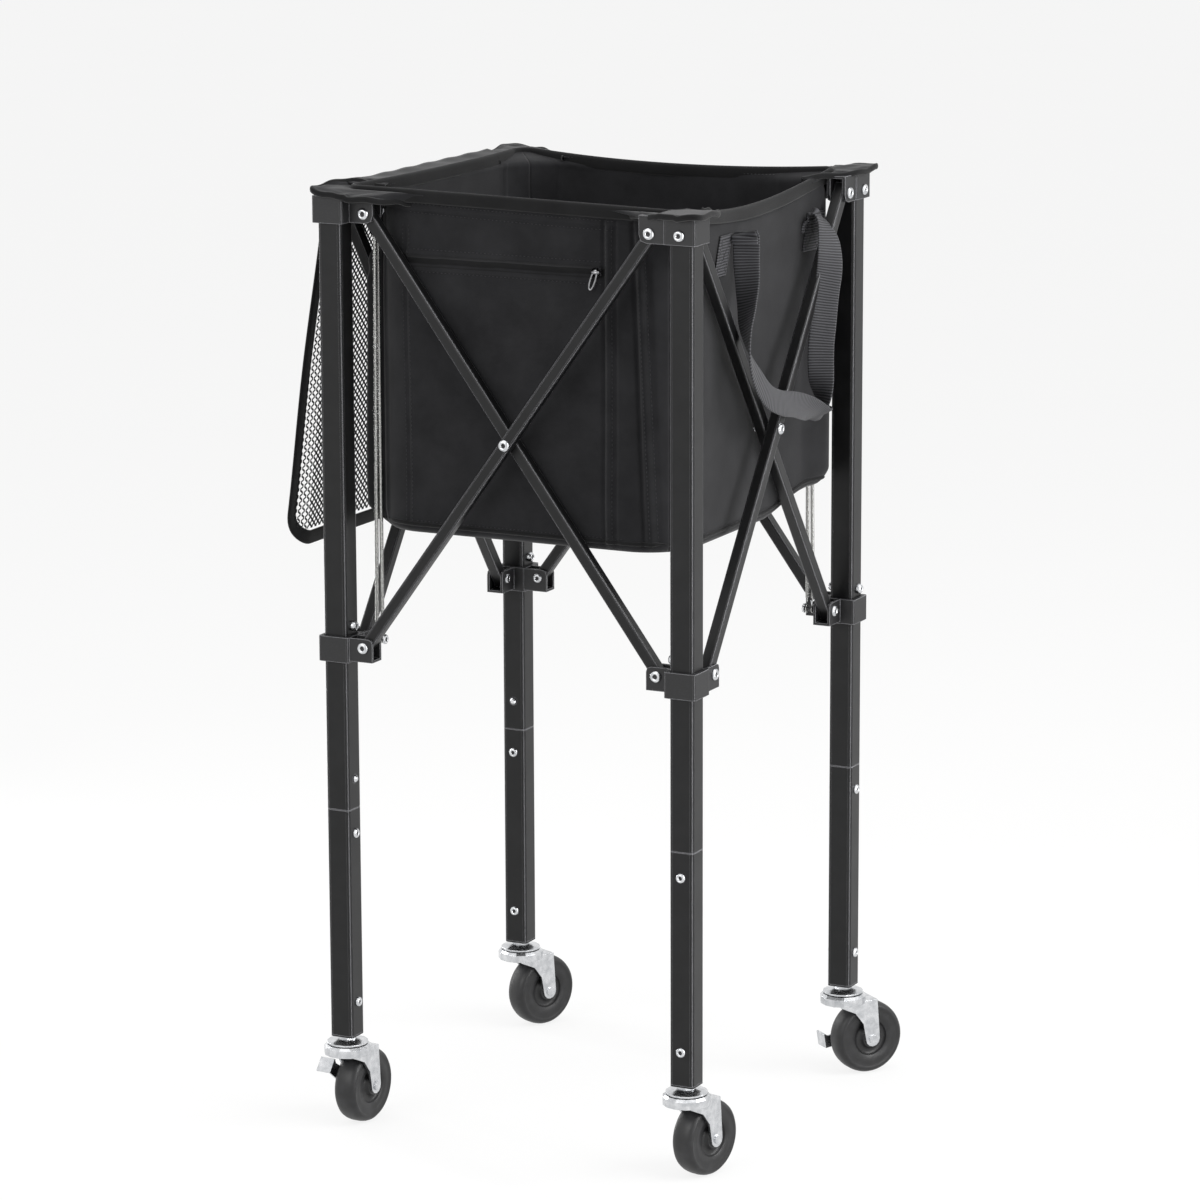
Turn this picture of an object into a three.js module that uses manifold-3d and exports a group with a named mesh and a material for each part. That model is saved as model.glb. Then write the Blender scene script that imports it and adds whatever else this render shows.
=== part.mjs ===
// A collapsible ball hopper on casters. Four square legs are tied together by a four-sided scissor frame
// whose lower pivots slide on the legs; a fabric bag with a mesh lid and a webbing handle hangs between them.
// Millimetres, +Z up. The part is drawn about the middle between its legs and moved at the end, so that its
// origin is on the floor under the middle of its box. Corners run a, b, c, d anticlockwise from the front
// left, and each corner is drawn once in its own frame: its leg's centre is the origin, +x runs towards the
// next corner and +y towards the previous one, so the outside of the frame is at -x and -y.

import * as THREE from 'three';
import { mergeVertices } from 'three/addons/utils/BufferGeometryUtils.js';
import Module from 'manifold-3d';

const wasm = await Module();
wasm.setup();

// Driving dimensions, in millimetres and degrees.

const CORNERS = ['a', 'b', 'c', 'd'];
const fit = 0.3; // gap between pieces that touch
const running = 0.4; // gap between pieces that turn or slide on each other
const overrun = 1; // how far a cutter passes the face it cuts

const frame = {
  spacing: 372, // between leg centres
  topPivot: 914, // height of the upper pivots
  lowPivot: 493, // height of the sliding pivots
  reach: 31.7, // from a leg's centre to its pivots
};

const leg = {
  side: 25,
  wall: 1.5,
  corner: 3.4,
  bottom: 97,
  seam: 328,
  plug: 46, // how far the lower leg reaches into the upper one
  swage: 8, // solid neck between the lower leg and its plug
  rivetBelowSeam: 25,
  rivetAboveEnd: 34,
  stopAboveSlider: 9, // from the slider's top to the middle of the stop rivet
  stopHead: 4.7,
  stopRise: 4.6,
};

const button = { radius: 3.6, aboveSeam: 30, rise: 3, flange: 5.4, flangeThick: 1.2 };

const bar = { side: 12, wall: 1.2, corner: 2, overhang: 8, innerPlane: 8, outerPlane: 5 };

const pin = { radius: 3, head: 5.5, rise: 2.2, innerHead: 4.6, innerRise: 1.6, shank: 2.5 };

const collar = { side: 33, corner: 2.4, cap: 2.5 };

// A bracket's closed side carries the web between its two ears; its open side has the rounded ear corner.
const topBracket = { ear: 3.4, reach: 10.3, closed: 17, open: 9, closedEars: 17, round: 8, web: 2.5 };
const slider = { ear: 2.6, reach: 10.3, closed: 16, open: 9, closedEars: 14, round: 5, web: 2.5 };

const spring = {
  coil: 4.3, // outside diameter
  wire: 1.2,
  curls: 11,
  topPlaces: [20.6, 26.6], // along the upper pin, from the leg's centre
  lowPlaces: [22.2, 28.2], // along the lower pin
  pinEnd: 30.6, // where the long pins end
};

const caster = {
  trail: 27, // from the swivel axis to the axle
  wheelRadius: 37.5,
  wheelWidth: 25,
  hubWidth: 26.2,
  axle: 4,
  axleHead: 4.6,
  axleHeadRise: 1.5,
  forkThick: 2.5,
  forkEnd: 8, // radius of the fork's round lower end
  forkFront: 10, // the fork's top reaches this far ahead of the swivel axis
  forkBack: 32, // and this far behind it
  crown: 23.5,
  crownBottom: 77.2,
  crownTop: 87,
  crownSkin: 2.4,
  raceway: 20.5,
  racewayBottom: 88,
  racewayEdge: 1.6,
  racewayTop: 92,
  nut: 9, // across its corners, from the axis
  nutTop: 95.7,
  stem: 5,
  stemTop: 122,
  kingpinHead: 8,
  kingpinRise: 2.5,
  trails: [86.5, 76, 53, 66.5], // degrees from +X, as each caster stands
};

const brake = {
  corners: ['a', 'c'],
  angles: [38, -9], // of the lever above the horizontal, as it stands
  length: 39,
  boss: 8,
  waist: 5,
  thick: 2,
  tab: 16,
  tabWidth: 15,
};

const endCap = { lip: 1, plug: 22 };

const bag = {
  clear: 19, // from the legs' centre line in to each wall
  corners: [55, 55, 13, 55], // plan radius at corners a, b, c, d
  bulge: 9, // how far the right wall swells out beside corner c
  tuck: 19, // how far the rear wall is drawn in there, behind the springs
  wall: 2,
  floor: 3,
  bottom: 604,
  bottomRound: 9,
  rimCorners: [940, 934, 937, 939], // rim height at corners a, b, c, d
  rimSags: [1, 16, 6, 0], // how far the rim dips on the front, right, rear and left sides
  flap: 2,
  shelf: 36, // from the left wall out to the lid's hinge
  shelfSide: 160,
};

const lid = {
  width: 336,
  length: 362,
  thick: 3,
  lean: 7.3, // degrees out from the vertical, as it hangs
  binding: 14,
  corner: 34,
  net: 1.4,
  strand: 4.2,
  gapsAcross: 7,
  gapsDown: 7,
};

const handle = {
  width: 27,
  thick: 2.6,
  belowRim: 38, // from the rim at corner b down to the line it swings about
  patchLength: 36,
  patchThick: 1.4,
  patches: [[-88, -45], [104, 135]], // where the sewn patches start and end along the right wall
  front: -47, // where its front end leaves the wall
  rear: 118,
  drop: 174, // from its ends down to the loop's lowest point
  stand: 2.3, // how far the loop's inner edge hangs clear of the bars' rivet heads
};

const zip = {
  belowRim: 64, // from the rim at corner b down to the zip
  place: 84, // along X, where the slider stands
  body: [13, 2.4, 11], // along X, Y and Z
  tab: [5, 1.2, 23],
};

// Sizes that follow from the ones above.

const half = frame.spacing / 2;
const bagHalf = half - bag.clear; // from the middle to each wall
const barRise = frame.topPivot - frame.lowPivot;
const barRun = frame.spacing - 2 * frame.reach;
const barLength = Math.hypot(barRun, barRise);
const barAngle = Math.atan2(barRun, barRise);
const crossing = (frame.topPivot + frame.lowPivot) / 2;
const legTop = frame.topPivot + topBracket.closed - collar.cap - fit;
const pinHole = pin.radius + running;
const handleHinge = bag.rimCorners[1] - handle.belowRim;
const zipHeight = bag.rimCorners[1] - zip.belowRim;

// Facets round each kind of turned piece.
const facets = { nut: 6, pin: 8, bore: 8, rod: 10, boss: 12, wheel: 14, tray: 14, plate: 16 };

// Facets along each kind of drawn curve.
const curveFacets = { tubeCorner: 1, ear: 2, cheek: 3, lidCorner: 3 };

// Finishes.

const finish = (color, roughness, metalness) =>
  new THREE.MeshStandardMaterial({ color, roughness, metalness });
const finishes = {
  leg: () => finish('#2b2b2d', 0.42, 0.5),
  bar: () => finish('#262628', 0.4, 0.5),
  bracket: () => finish('#2f2f31', 0.5, 0.4),
  plastic: () => finish('#151516', 0.6, 0),
  button: () => finish('#c9cbcd', 0.25, 1),
  spring: () => finish('#b9bbbd', 0.3, 1),
  zinc: () => finish('#c6c8ca', 0.28, 1),
  tyre: () => finish('#19191a', 0.7, 0),
  fabric: () => finish('#232427', 0.9, 0),
  net: () => finish('#1b1b1c', 0.85, 0),
  webbing: () => finish('#17171a', 0.8, 0),
};

// Solids: a closed three.js geometry becomes a manifold, and a finished manifold a geometry again.

function solid(geometry) {
  const bare = geometry.clone();
  bare.deleteAttribute('normal');
  bare.deleteAttribute('uv');
  const merged = mergeVertices(bare);
  const vertProperties = new Float32Array(merged.attributes.position.array);
  const triVerts = new Uint32Array(merged.index.array);
  return new wasm.Manifold(new wasm.Mesh({ numProp: 3, vertProperties, triVerts }));
}

function geometryOf(manifold) {
  const mesh = manifold.getMesh();
  const geometry = new THREE.BufferGeometry();
  geometry.setAttribute('position', new THREE.BufferAttribute(new Float32Array(mesh.vertProperties), 3));
  geometry.setIndex(Array.from(mesh.triVerts));
  const flat = geometry.toNonIndexed();
  flat.computeVertexNormals();
  return flat;
}

function union(pieces) {
  return pieces.reduce((whole, piece) => whole.add(piece));
}

// A box between two corners.
function block(low, high) {
  const size = high.map((value, i) => value - low[i]);
  const geometry = new THREE.BoxGeometry(...size);
  geometry.translate(...low.map((value, i) => value + size[i] / 2));
  return solid(geometry);
}

// A shape drawn in x and y, raised from z = low to z = high.
function prism(shape, low, high, curveSegments = 1) {
  const depth = high - low;
  const geometry = new THREE.ExtrudeGeometry(shape, { depth, bevelEnabled: false, curveSegments });
  geometry.translate(0, 0, low);
  return solid(geometry);
}

// A shape drawn in x and z, spread from y = low to y = high.
function wallOf(shape, low, high, curveSegments = 1) {
  const depth = high - low;
  const geometry = new THREE.ExtrudeGeometry(shape, { depth, bevelEnabled: false, curveSegments });
  geometry.rotateX(Math.PI / 2);
  geometry.translate(0, high, 0);
  return solid(geometry);
}

// A square with rounded corners, centred on the origin.
function roundedSquare(side, radius) {
  const h = side / 2;
  const shape = new THREE.Shape();
  shape.absarc(h - radius, h - radius, radius, 0, Math.PI / 2);
  shape.absarc(radius - h, h - radius, radius, Math.PI / 2, Math.PI);
  shape.absarc(radius - h, radius - h, radius, Math.PI, 1.5 * Math.PI);
  shape.absarc(h - radius, radius - h, radius, 1.5 * Math.PI, 2 * Math.PI);
  shape.closePath();
  return shape;
}

const roundedBar = (side, radius, low, high) =>
  prism(roundedSquare(side, radius), low, high, curveFacets.tubeCorner);
const squareBar = (side, low, high) => block([-side / 2, -side / 2, low], [side / 2, side / 2, high]);

// A body of revolution about z from [radius, height] points; a profile off the axis closes on itself.
function turned(points, segments) {
  const profile = points.map(([r, z]) => new THREE.Vector2(r, z));
  if (points[0][0] > 0) profile.push(profile[0].clone());
  return solid(new THREE.LatheGeometry(profile, segments).rotateX(Math.PI / 2));
}

// A round rod along 'x', 'y' or 'z' from low to high, centred on the two other coordinates given.
function rod(axis, low, high, centre, radius, segments = facets.rod) {
  const geometry = new THREE.CylinderGeometry(radius, radius, high - low, segments);
  if (axis === 'x') geometry.rotateZ(-Math.PI / 2);
  if (axis === 'z') geometry.rotateX(Math.PI / 2);
  const middle = (low + high) / 2;
  const [p, q] = centre;
  geometry.translate(...{ x: [middle, p, q], y: [p, middle, q], z: [p, q, middle] }[axis]);
  return solid(geometry);
}

// A rod that cuts a hole whose flats stand clear of a shaft of this radius.
const boreRod = (axis, low, high, centre, radius) =>
  rod(axis, low, high, centre, radius / Math.cos(Math.PI / facets.bore), facets.bore);

// A domed rivet head with a dimple, standing on a face: it looks along the unit vector given.
const headShares = [[0, 0], [1, 0], [0.62, 1], [0, 0.7]];

function rivetHead(place, direction, radius, rise) {
  const profile = headShares.map(([r, z]) => new THREE.Vector2(r * radius, z * rise));
  const geometry = new THREE.LatheGeometry(profile, facets.pin);
  const upwards = new THREE.Vector3(0, 1, 0);
  geometry.applyQuaternion(
    new THREE.Quaternion().setFromUnitVectors(upwards, new THREE.Vector3(...direction)));
  geometry.translate(...place);
  return solid(geometry);
}

// Legs.

// A square tube with rounded outer corners.
const hollowTube = (side, wall, radius, low, high) =>
  roundedBar(side, radius, low, high).subtract(squareBar(side - 2 * wall, low - overrun, high + overrun));

// Faces of each leg that carry a stop rivet above the slider.
const stopFaces = [[[1, 0]], [[0, 1]], [[1, 0], [-1, 0]], [[0, 1]]];
const sliderTop = frame.lowPivot + slider.open;
const stopHeight = sliderTop + leg.stopAboveSlider;
const buttonHeight = leg.seam + button.aboveSeam;
const headSeat = 0.2; // how far a rivet head is let into its face, so that the two are one solid

function upperLeg(k) {
  const tube = hollowTube(leg.side, leg.wall, leg.corner, leg.seam, legTop);
  const stops = stopFaces[k].map(([x, y]) => rivetHead(
    [x * (leg.side / 2 - headSeat), y * (leg.side / 2 - headSeat), stopHeight], [x, y, 0],
    leg.stopHead, leg.stopRise + headSeat));
  return union([tube, ...stops]).subtract(buttonHole());
}

const buttonHole = () => boreRod('x', 0, leg.side, [0, buttonHeight], button.radius + fit);

function lowerLeg() {
  const plugSide = leg.side - 2 * leg.wall - 2 * fit;
  const seam = leg.seam - fit;
  const top = leg.seam + leg.plug;
  const body = roundedBar(leg.side, leg.corner, leg.bottom + fit, seam);
  const plug = roundedBar(plugSide, leg.corner - leg.wall, seam - overrun, top);
  const bore = squareBar(leg.side - 2 * leg.wall, leg.bottom - overrun, seam - leg.swage);
  const plugBore = squareBar(plugSide - 2 * leg.wall, seam - leg.swage - overrun, top + overrun);
  const face = leg.side / 2 - headSeat;
  const heads = [leg.seam - leg.rivetBelowSeam, leg.bottom + leg.rivetAboveEnd].flatMap((z) =>
    [-1, 1].map((x) => rivetHead([x * face, 0, z], [x, 0, 0], pin.innerHead, pin.rise + headSeat)));
  return union([body, plug, ...heads]).subtract(bore).subtract(plugBore).subtract(buttonHole());
}

// The button stands in both legs' walls, with a flange behind the plug's wall.
function lockButton() {
  const plugInner = leg.side / 2 - 2 * leg.wall - fit;
  const face = leg.side / 2 + button.rise;
  const flangeFace = plugInner - fit;
  const back = flangeFace - button.flangeThick;
  const points = [
    [0, back], [button.flange, back], [button.flange, flangeFace], [button.radius, flangeFace],
    [button.radius, face - button.radius / 2], [button.radius / 2, face], [0, face],
  ];
  const geometry = new THREE.LatheGeometry(points.map(([r, x]) => new THREE.Vector2(r, x)), facets.rod);
  geometry.rotateZ(-Math.PI / 2);
  geometry.translate(0, 0, buttonHeight);
  return solid(geometry);
}

function legEndCap() {
  const inner = leg.side - 2 * leg.wall - 2 * fit;
  const low = leg.bottom - endCap.lip;
  const high = leg.bottom + endCap.plug;
  const lip = roundedBar(leg.side, leg.corner, low, leg.bottom);
  const plug = squareBar(inner, low, high);
  const stemBore = boreRod('z', low - overrun, high + overrun, [0, 0], caster.stem + fit);
  return lip.add(plug).subtract(stemBore);
}

// Brackets: a square collar with two clevises at a right angle.

// A clevis along +x for a bar whose middle is at y = plane. Up is +1 where the web closes the top, -1 where
// it closes the bottom. The pin's head is on the outside; inward is +1 or -1 along y, and the pin ends at
// innerEnd inside.
function clevis(spec, pivot, plane, up, inward, innerEnd) {
  const start = collar.side / 2 - overrun;
  const end = frame.reach + spec.reach;
  const closed = pivot + up * spec.closedEars;
  const open = pivot - up * spec.open;
  const outline = new THREE.Shape();
  outline.moveTo(start, closed);
  outline.lineTo(end, closed);
  outline.lineTo(end, open + up * spec.round);
  outline.quadraticCurveTo(end, open, end - spec.round, open);
  outline.lineTo(start, open);
  outline.closePath();
  const gap = bar.side / 2 + running;
  const outerFace = plane - inward * (gap + spec.ear);
  const innerFace = plane + inward * (gap + spec.ear);
  const earAt = (from, to) => wallOf(outline, Math.min(from, to), Math.max(from, to), curveFacets.ear);
  const ears = [earAt(outerFace, plane - inward * gap), earAt(innerFace, plane + inward * gap)];
  const webLow = Math.min(closed, closed - up * spec.web);
  const web = block([start, Math.min(outerFace, innerFace), webLow],
    [end, Math.max(outerFace, innerFace), webLow + spec.web]);
  const pinInner = innerEnd * inward;
  const place = [frame.reach, pivot];
  const shaft = rod('y', Math.min(outerFace, pinInner), Math.max(outerFace, pinInner), place, pin.radius,
    facets.pin);
  const head = rivetHead([frame.reach, outerFace + inward * headSeat, pivot], [0, -inward, 0],
    pin.head, pin.rise + headSeat);
  const innerFrom = pinInner - inward * headSeat;
  const innerTo = pinInner + inward * pin.innerRise;
  const innerHead = rod('y', Math.min(innerFrom, innerTo), Math.max(innerFrom, innerTo), place, pin.innerHead,
    facets.pin);
  return union([...ears, web, shaft, head, innerHead]);
}

function turnedToPrevious(manifold) {
  return manifold.rotate([0, 0, 90]);
}

const hasSprings = (k) => k % 2 === 0;
const innerFaceOf = (spec, plane) => plane + bar.side / 2 + running + spec.ear;

function topBracketSolid(k) {
  const pivot = frame.topPivot;
  const low = pivot - topBracket.open;
  const high = pivot + topBracket.closed;
  const box = roundedBar(collar.side, collar.corner, low, high);
  const bore = squareBar(leg.side + 2 * fit, low - overrun, high - collar.cap);
  const legRivet = rivetHead([headSeat - collar.side / 2, 0, pivot], [-1, 0, 0], pin.innerHead,
    pin.rise + headSeat);
  const innerEnd = hasSprings(k) ? spring.pinEnd : innerFaceOf(topBracket, bar.innerPlane);
  const toNext = clevis(topBracket, pivot, bar.innerPlane, 1, 1, innerEnd);
  const toPrevious = turnedToPrevious(
    clevis(topBracket, pivot, bar.outerPlane, 1, -1, innerFaceOf(topBracket, -bar.outerPlane)));
  return union([box, toNext, toPrevious, legRivet]).subtract(bore);
}

function sliderSolid(k) {
  const pivot = frame.lowPivot;
  const low = pivot - slider.closed;
  const high = pivot + slider.open;
  const box = roundedBar(collar.side, collar.corner, low, high);
  const bore = squareBar(leg.side + 2 * running, low - overrun, high + overrun);
  const toNext = clevis(slider, pivot, -bar.outerPlane, -1, 1, innerFaceOf(slider, -bar.outerPlane));
  const innerEnd = hasSprings(k) ? spring.pinEnd : innerFaceOf(slider, bar.innerPlane);
  const toPrevious = turnedToPrevious(clevis(slider, pivot, -bar.innerPlane, -1, -1, innerEnd));
  return union([box, toNext, toPrevious]).subtract(bore);
}

// Scissor bars, drawn upright about their middle, with y through the frame and the outside at -y.

function barTube() {
  const reach = barLength / 2 + bar.overhang;
  return hollowTube(bar.side, bar.wall, bar.corner, -reach, reach);
}

const acrossBar = (z, radius) => boreRod('y', -bar.side, bar.side, [0, z], radius);

function innerBar() {
  const places = [-barLength / 2, 0, barLength / 2];
  return places.reduce((tube, z) => tube.subtract(acrossBar(z, pinHole)), barTube());
}

// The outer bar carries the rivet of the crossing, which holds the inner bar.
function outerBar() {
  const between = bar.innerPlane + bar.outerPlane;
  const seat = between + bar.side / 2 + fit;
  const tube = [-barLength / 2, barLength / 2].reduce(
    (whole, z) => whole.subtract(acrossBar(z, pinHole)), barTube());
  const shaft = rod('y', -bar.side / 2, seat + headSeat, [0, 0], pin.radius, facets.pin);
  const head = rivetHead([0, headSeat - bar.side / 2, 0], [0, -1, 0], pin.head, pin.rise + headSeat);
  const innerHead = rod('y', seat, seat + pin.innerRise, [0, 0], pin.innerHead, facets.pin);
  return union([tube, shaft, head, innerHead]);
}

// A closed tube swept along points, with sides facets; normals stay square to the reference direction.
function sweptTube(points, radius, sides, reference) {
  const positions = [];
  const index = [];
  const frames = points.map((p, i) => {
    const before = points[Math.max(i - 1, 0)];
    const after = points[Math.min(i + 1, points.length - 1)];
    const along = after.clone().sub(before).normalize();
    const across = reference.clone().cross(along).normalize();
    return { p, across, up: along.clone().cross(across) };
  });
  for (const { p, across, up } of frames) {
    for (let s = 0; s < sides; s++) {
      const angle = (2 * Math.PI * s) / sides;
      const point = p.clone().addScaledVector(across, radius * Math.cos(angle))
        .addScaledVector(up, radius * Math.sin(angle));
      positions.push(point.x, point.y, point.z);
    }
  }
  for (let i = 0; i + 1 < points.length; i++) {
    for (let s = 0; s < sides; s++) {
      const a = i * sides + s;
      const b = i * sides + ((s + 1) % sides);
      index.push(a, b, b + sides, a, b + sides, a + sides);
    }
  }
  for (let s = 1; s + 1 < sides; s++) {
    const last = (points.length - 1) * sides;
    index.push(0, s + 1, s, last, last + s, last + s + 1);
  }
  const geometry = new THREE.BufferGeometry();
  geometry.setAttribute('position', new THREE.Float32BufferAttribute(positions, 3));
  geometry.setIndex(index);
  return geometry;
}

// The least distance between stretches of a tube that are at least half a curl apart, less its diameter.
function leastSelfGap(points, apart, diameter) {
  let least = Infinity;
  for (let i = 0; i < points.length; i++) {
    for (let j = i + apart; j < points.length; j++) least = Math.min(least, points[i].distanceTo(points[j]));
  }
  return least - diameter;
}

const springSteps = 8;
const springSides = 5;

// An extension spring from the underside of the upper pin to the top of the lower one.
function springPath(which) {
  const top = new THREE.Vector3(frame.reach, spring.topPlaces[which], frame.topPivot - pin.radius - fit);
  const low = new THREE.Vector3(spring.lowPlaces[which], frame.reach, frame.lowPivot + pin.radius + fit);
  const along = low.clone().sub(top);
  const length = along.length();
  along.normalize();
  const side = new THREE.Vector3(1, 0, 0).cross(along).normalize();
  const other = along.clone().cross(side);
  const turnRadius = (spring.coil - spring.wire) / 2;
  const count = spring.curls * springSteps;
  const points = [top.clone()];
  for (let i = 0; i <= count; i++) {
    const angle = (2 * Math.PI * i) / springSteps;
    const grow = Math.min(1, (2 * i) / springSteps, (2 * (count - i)) / springSteps);
    const travel = spring.wire + ((length - 2 * spring.wire) * i) / count;
    points.push(top.clone().addScaledVector(along, travel)
      .addScaledVector(side, turnRadius * grow * Math.cos(angle))
      .addScaledVector(other, turnRadius * grow * Math.sin(angle)));
  }
  points.push(low.clone());
  return points;
}

function springGeometry(which) {
  const points = springPath(which);
  const gap = leastSelfGap(points, springSteps / 2, spring.wire);
  console.log(`spring ${which}: least gap to itself ${gap.toFixed(2)} mm`);
  return sweptTube(points, spring.wire / 2, springSides, new THREE.Vector3(1, 0, 0));
}

// Casters, drawn with the swivel axis at the origin and the wheel trailing along +x.

const axleHeight = caster.wheelRadius;
const forkInner = caster.hubWidth / 2 + fit;
const forkOuter = forkInner + caster.forkThick;

function casterStem() {
  const plate = turned([
    [0, caster.racewayBottom], [caster.raceway, caster.racewayBottom],
    [caster.raceway, caster.racewayBottom + caster.racewayEdge], [caster.nut, caster.racewayTop],
    [0, caster.racewayTop],
  ], facets.plate);
  const upright = (low, high, radius, round) => rod('z', low, high, [0, 0], radius, round);
  const nut = upright(caster.racewayTop - overrun, caster.nutTop, caster.nut, facets.nut);
  const stem = upright(caster.racewayTop - overrun, caster.stemTop, caster.stem, facets.pin);
  const headTop = caster.crownBottom - fit;
  const headLow = headTop - caster.kingpinRise;
  const kingpin = upright(headLow, caster.racewayBottom + overrun, caster.stem, facets.pin);
  const head = upright(headLow, headTop, caster.kingpinHead, facets.pin);
  return union([plate, nut, stem, kingpin, head]);
}

// The side plate of the fork: a concave front edge sweeps down to a round end about the axle.
function forkSideShape() {
  const top = caster.crownBottom + caster.crownSkin / 2;
  const shape = new THREE.Shape();
  shape.moveTo(-caster.forkFront, top);
  shape.lineTo(-caster.forkFront, caster.crownBottom - caster.forkThick);
  shape.quadraticCurveTo(caster.trail - caster.forkEnd, caster.crownBottom - caster.forkFront,
    caster.trail - caster.forkEnd, axleHeight);
  shape.absarc(caster.trail, axleHeight, caster.forkEnd, Math.PI, 2 * Math.PI);
  shape.lineTo(caster.forkBack, top);
  shape.closePath();
  return shape;
}

function casterFork(hasBrake) {
  const skin = caster.crownSkin;
  const bore = caster.stem + running;
  const low = caster.crownBottom;
  const high = caster.crownTop;
  const rim = caster.crown;
  const tray = turned([
    [bore, low], [rim, low], [rim, high - skin], [rim - skin, high], [rim - 2 * skin, high],
    [rim - 2 * skin, low + skin], [bore, low + skin],
  ], facets.tray);
  const back = block([caster.kingpinHead, -forkOuter, low + headSeat],
    [caster.forkBack, forkOuter, low + skin - headSeat]);
  const side = forkSideShape();
  const cheeks = [[forkInner, forkOuter], [-forkOuter, -forkInner]].map(([from, to]) =>
    wallOf(side, from, to, curveFacets.cheek));
  const nearEnd = -forkOuter - caster.axleHeadRise;
  const farFace = forkOuter + (hasBrake ? brake.thick + 2 * fit : 0);
  const farEnd = farFace + caster.axleHeadRise;
  const place = [caster.trail, axleHeight];
  const axle = union([
    rod('y', nearEnd, farEnd, place, caster.axle),
    rod('y', nearEnd, headSeat - forkOuter, place, caster.axleHead),
    rod('y', farFace - (hasBrake ? 0 : headSeat), farEnd, place, caster.axleHead + (hasBrake ? running : 0)),
  ]);
  const kingpinRoom = boreRod('z', low - caster.kingpinRise, high + overrun, [0, 0], bore);
  return union([tray, back, ...cheeks]).subtract(kingpinRoom).add(axle);
}

// Half of the wheel's section, as [share of its radius, share of half its width]; the hub is set apart.
const treadShares = [[0.25, 0.66], [0.43, 0.66], [0.47, 0.9], [0.8, 0.9], [0.86, 1], [1, 0.5]];

function casterWheel() {
  const bore = caster.axle + running;
  const hub = caster.hubWidth / 2;
  const hubRadius = caster.axleHead * 2;
  const side = [[bore, hub], [hubRadius, hub], ...treadShares.map(([r, w]) =>
    [r * caster.wheelRadius, (w * caster.wheelWidth) / 2])];
  const other = side.map(([r, w]) => [r, -w]).reverse();
  const profile = [...side, ...other].map(([r, w]) => new THREE.Vector2(r, w));
  profile.push(profile[0].clone());
  const geometry = new THREE.LatheGeometry(profile.reverse(), facets.wheel);
  geometry.translate(caster.trail, 0, axleHeight);
  return solid(geometry);
}

// The brake's lever turns on the axle outside the fork; its tab is bent outwards.
function brakeLever(angle) {
  const near = forkOuter + fit;
  const boss = rod('y', near, near + brake.thick, [0, 0], brake.boss, facets.boss);
  const arm = new THREE.Shape();
  arm.moveTo(0, -brake.boss);
  arm.lineTo(-brake.length, -brake.tabWidth / 2);
  arm.lineTo(-brake.length, brake.tabWidth / 2);
  arm.lineTo(-brake.length + brake.waist, brake.waist);
  arm.lineTo(0, brake.boss);
  arm.closePath();
  const blade = wallOf(arm, near, near + brake.thick);
  const tab = block([-brake.length, near, -brake.tabWidth / 2],
    [-brake.length + brake.thick, near + brake.tab, brake.tabWidth / 2]);
  const bore = boreRod('y', near - overrun, near + brake.thick + overrun, [0, 0], caster.axle + running);
  const lever = union([boss, blade, tab]).subtract(bore);
  return lever.rotate([0, angle, 0]).translate([caster.trail, 0, axleHeight]);
}

// The bag: a tub with rounded corners, a rim that dips between the corners, and a flap over each top bracket.

const bagCornerSteps = 3;
const bagSideShares = [0, 0.06, 0.25, 0.6, 0.88, 1];
const bagEase = 5; // how suddenly a wall leaves its line near a corner

// Each corner's distance from the middle, to the wall that arrives there and to the wall that leaves.
const bagReach = CORNERS.map((corner) =>
  corner === 'c' ? [bagHalf + bag.bulge, bagHalf - bag.tuck] : [bagHalf, bagHalf]);

// How far side k stands from the middle at a share along it.
function sideReach(k, share) {
  const from = bagReach[k][1];
  const to = bagReach[(k + 1) % CORNERS.length][0];
  return bagHalf + (from - bagHalf) * (1 - share) ** bagEase + (to - bagHalf) * share ** bagEase;
}

// One ring of the bag's section as [x, y, side, share of the straight stretch], from corner a on.
function bagRing(inset) {
  const ring = [];
  for (let k = 0; k < CORNERS.length; k++) {
    const next = (k + 1) % CORNERS.length;
    const turn = (k * Math.PI) / 2;
    const place = (x, y, share) => ring.push([
      x * Math.cos(turn) - y * Math.sin(turn), x * Math.sin(turn) + y * Math.cos(turn), k, share]);
    const r = bag.corners[k];
    const [arrives, leaves] = bagReach[k];
    for (let s = 1; s < bagCornerSteps; s++) {
      const angle = Math.PI * (1 + (0.5 * s) / bagCornerSteps);
      place(r - arrives + (r - inset) * Math.cos(angle), r - leaves + (r - inset) * Math.sin(angle), 0);
    }
    const start = r - arrives;
    const end = bagReach[next][1] - bag.corners[next];
    for (const share of bagSideShares) {
      place(start + (end - start) * share, inset - sideReach(k, share), share);
    }
  }
  return ring;
}

// Rim height on side k at a share along it: a straight line between corners less a parabola.
function rimHeight(k, along) {
  const from = bag.rimCorners[k];
  const to = bag.rimCorners[(k + 1) % CORNERS.length];
  return from + (to - from) * along - bag.rimSags[k] * 4 * along * (1 - along);
}

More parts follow.
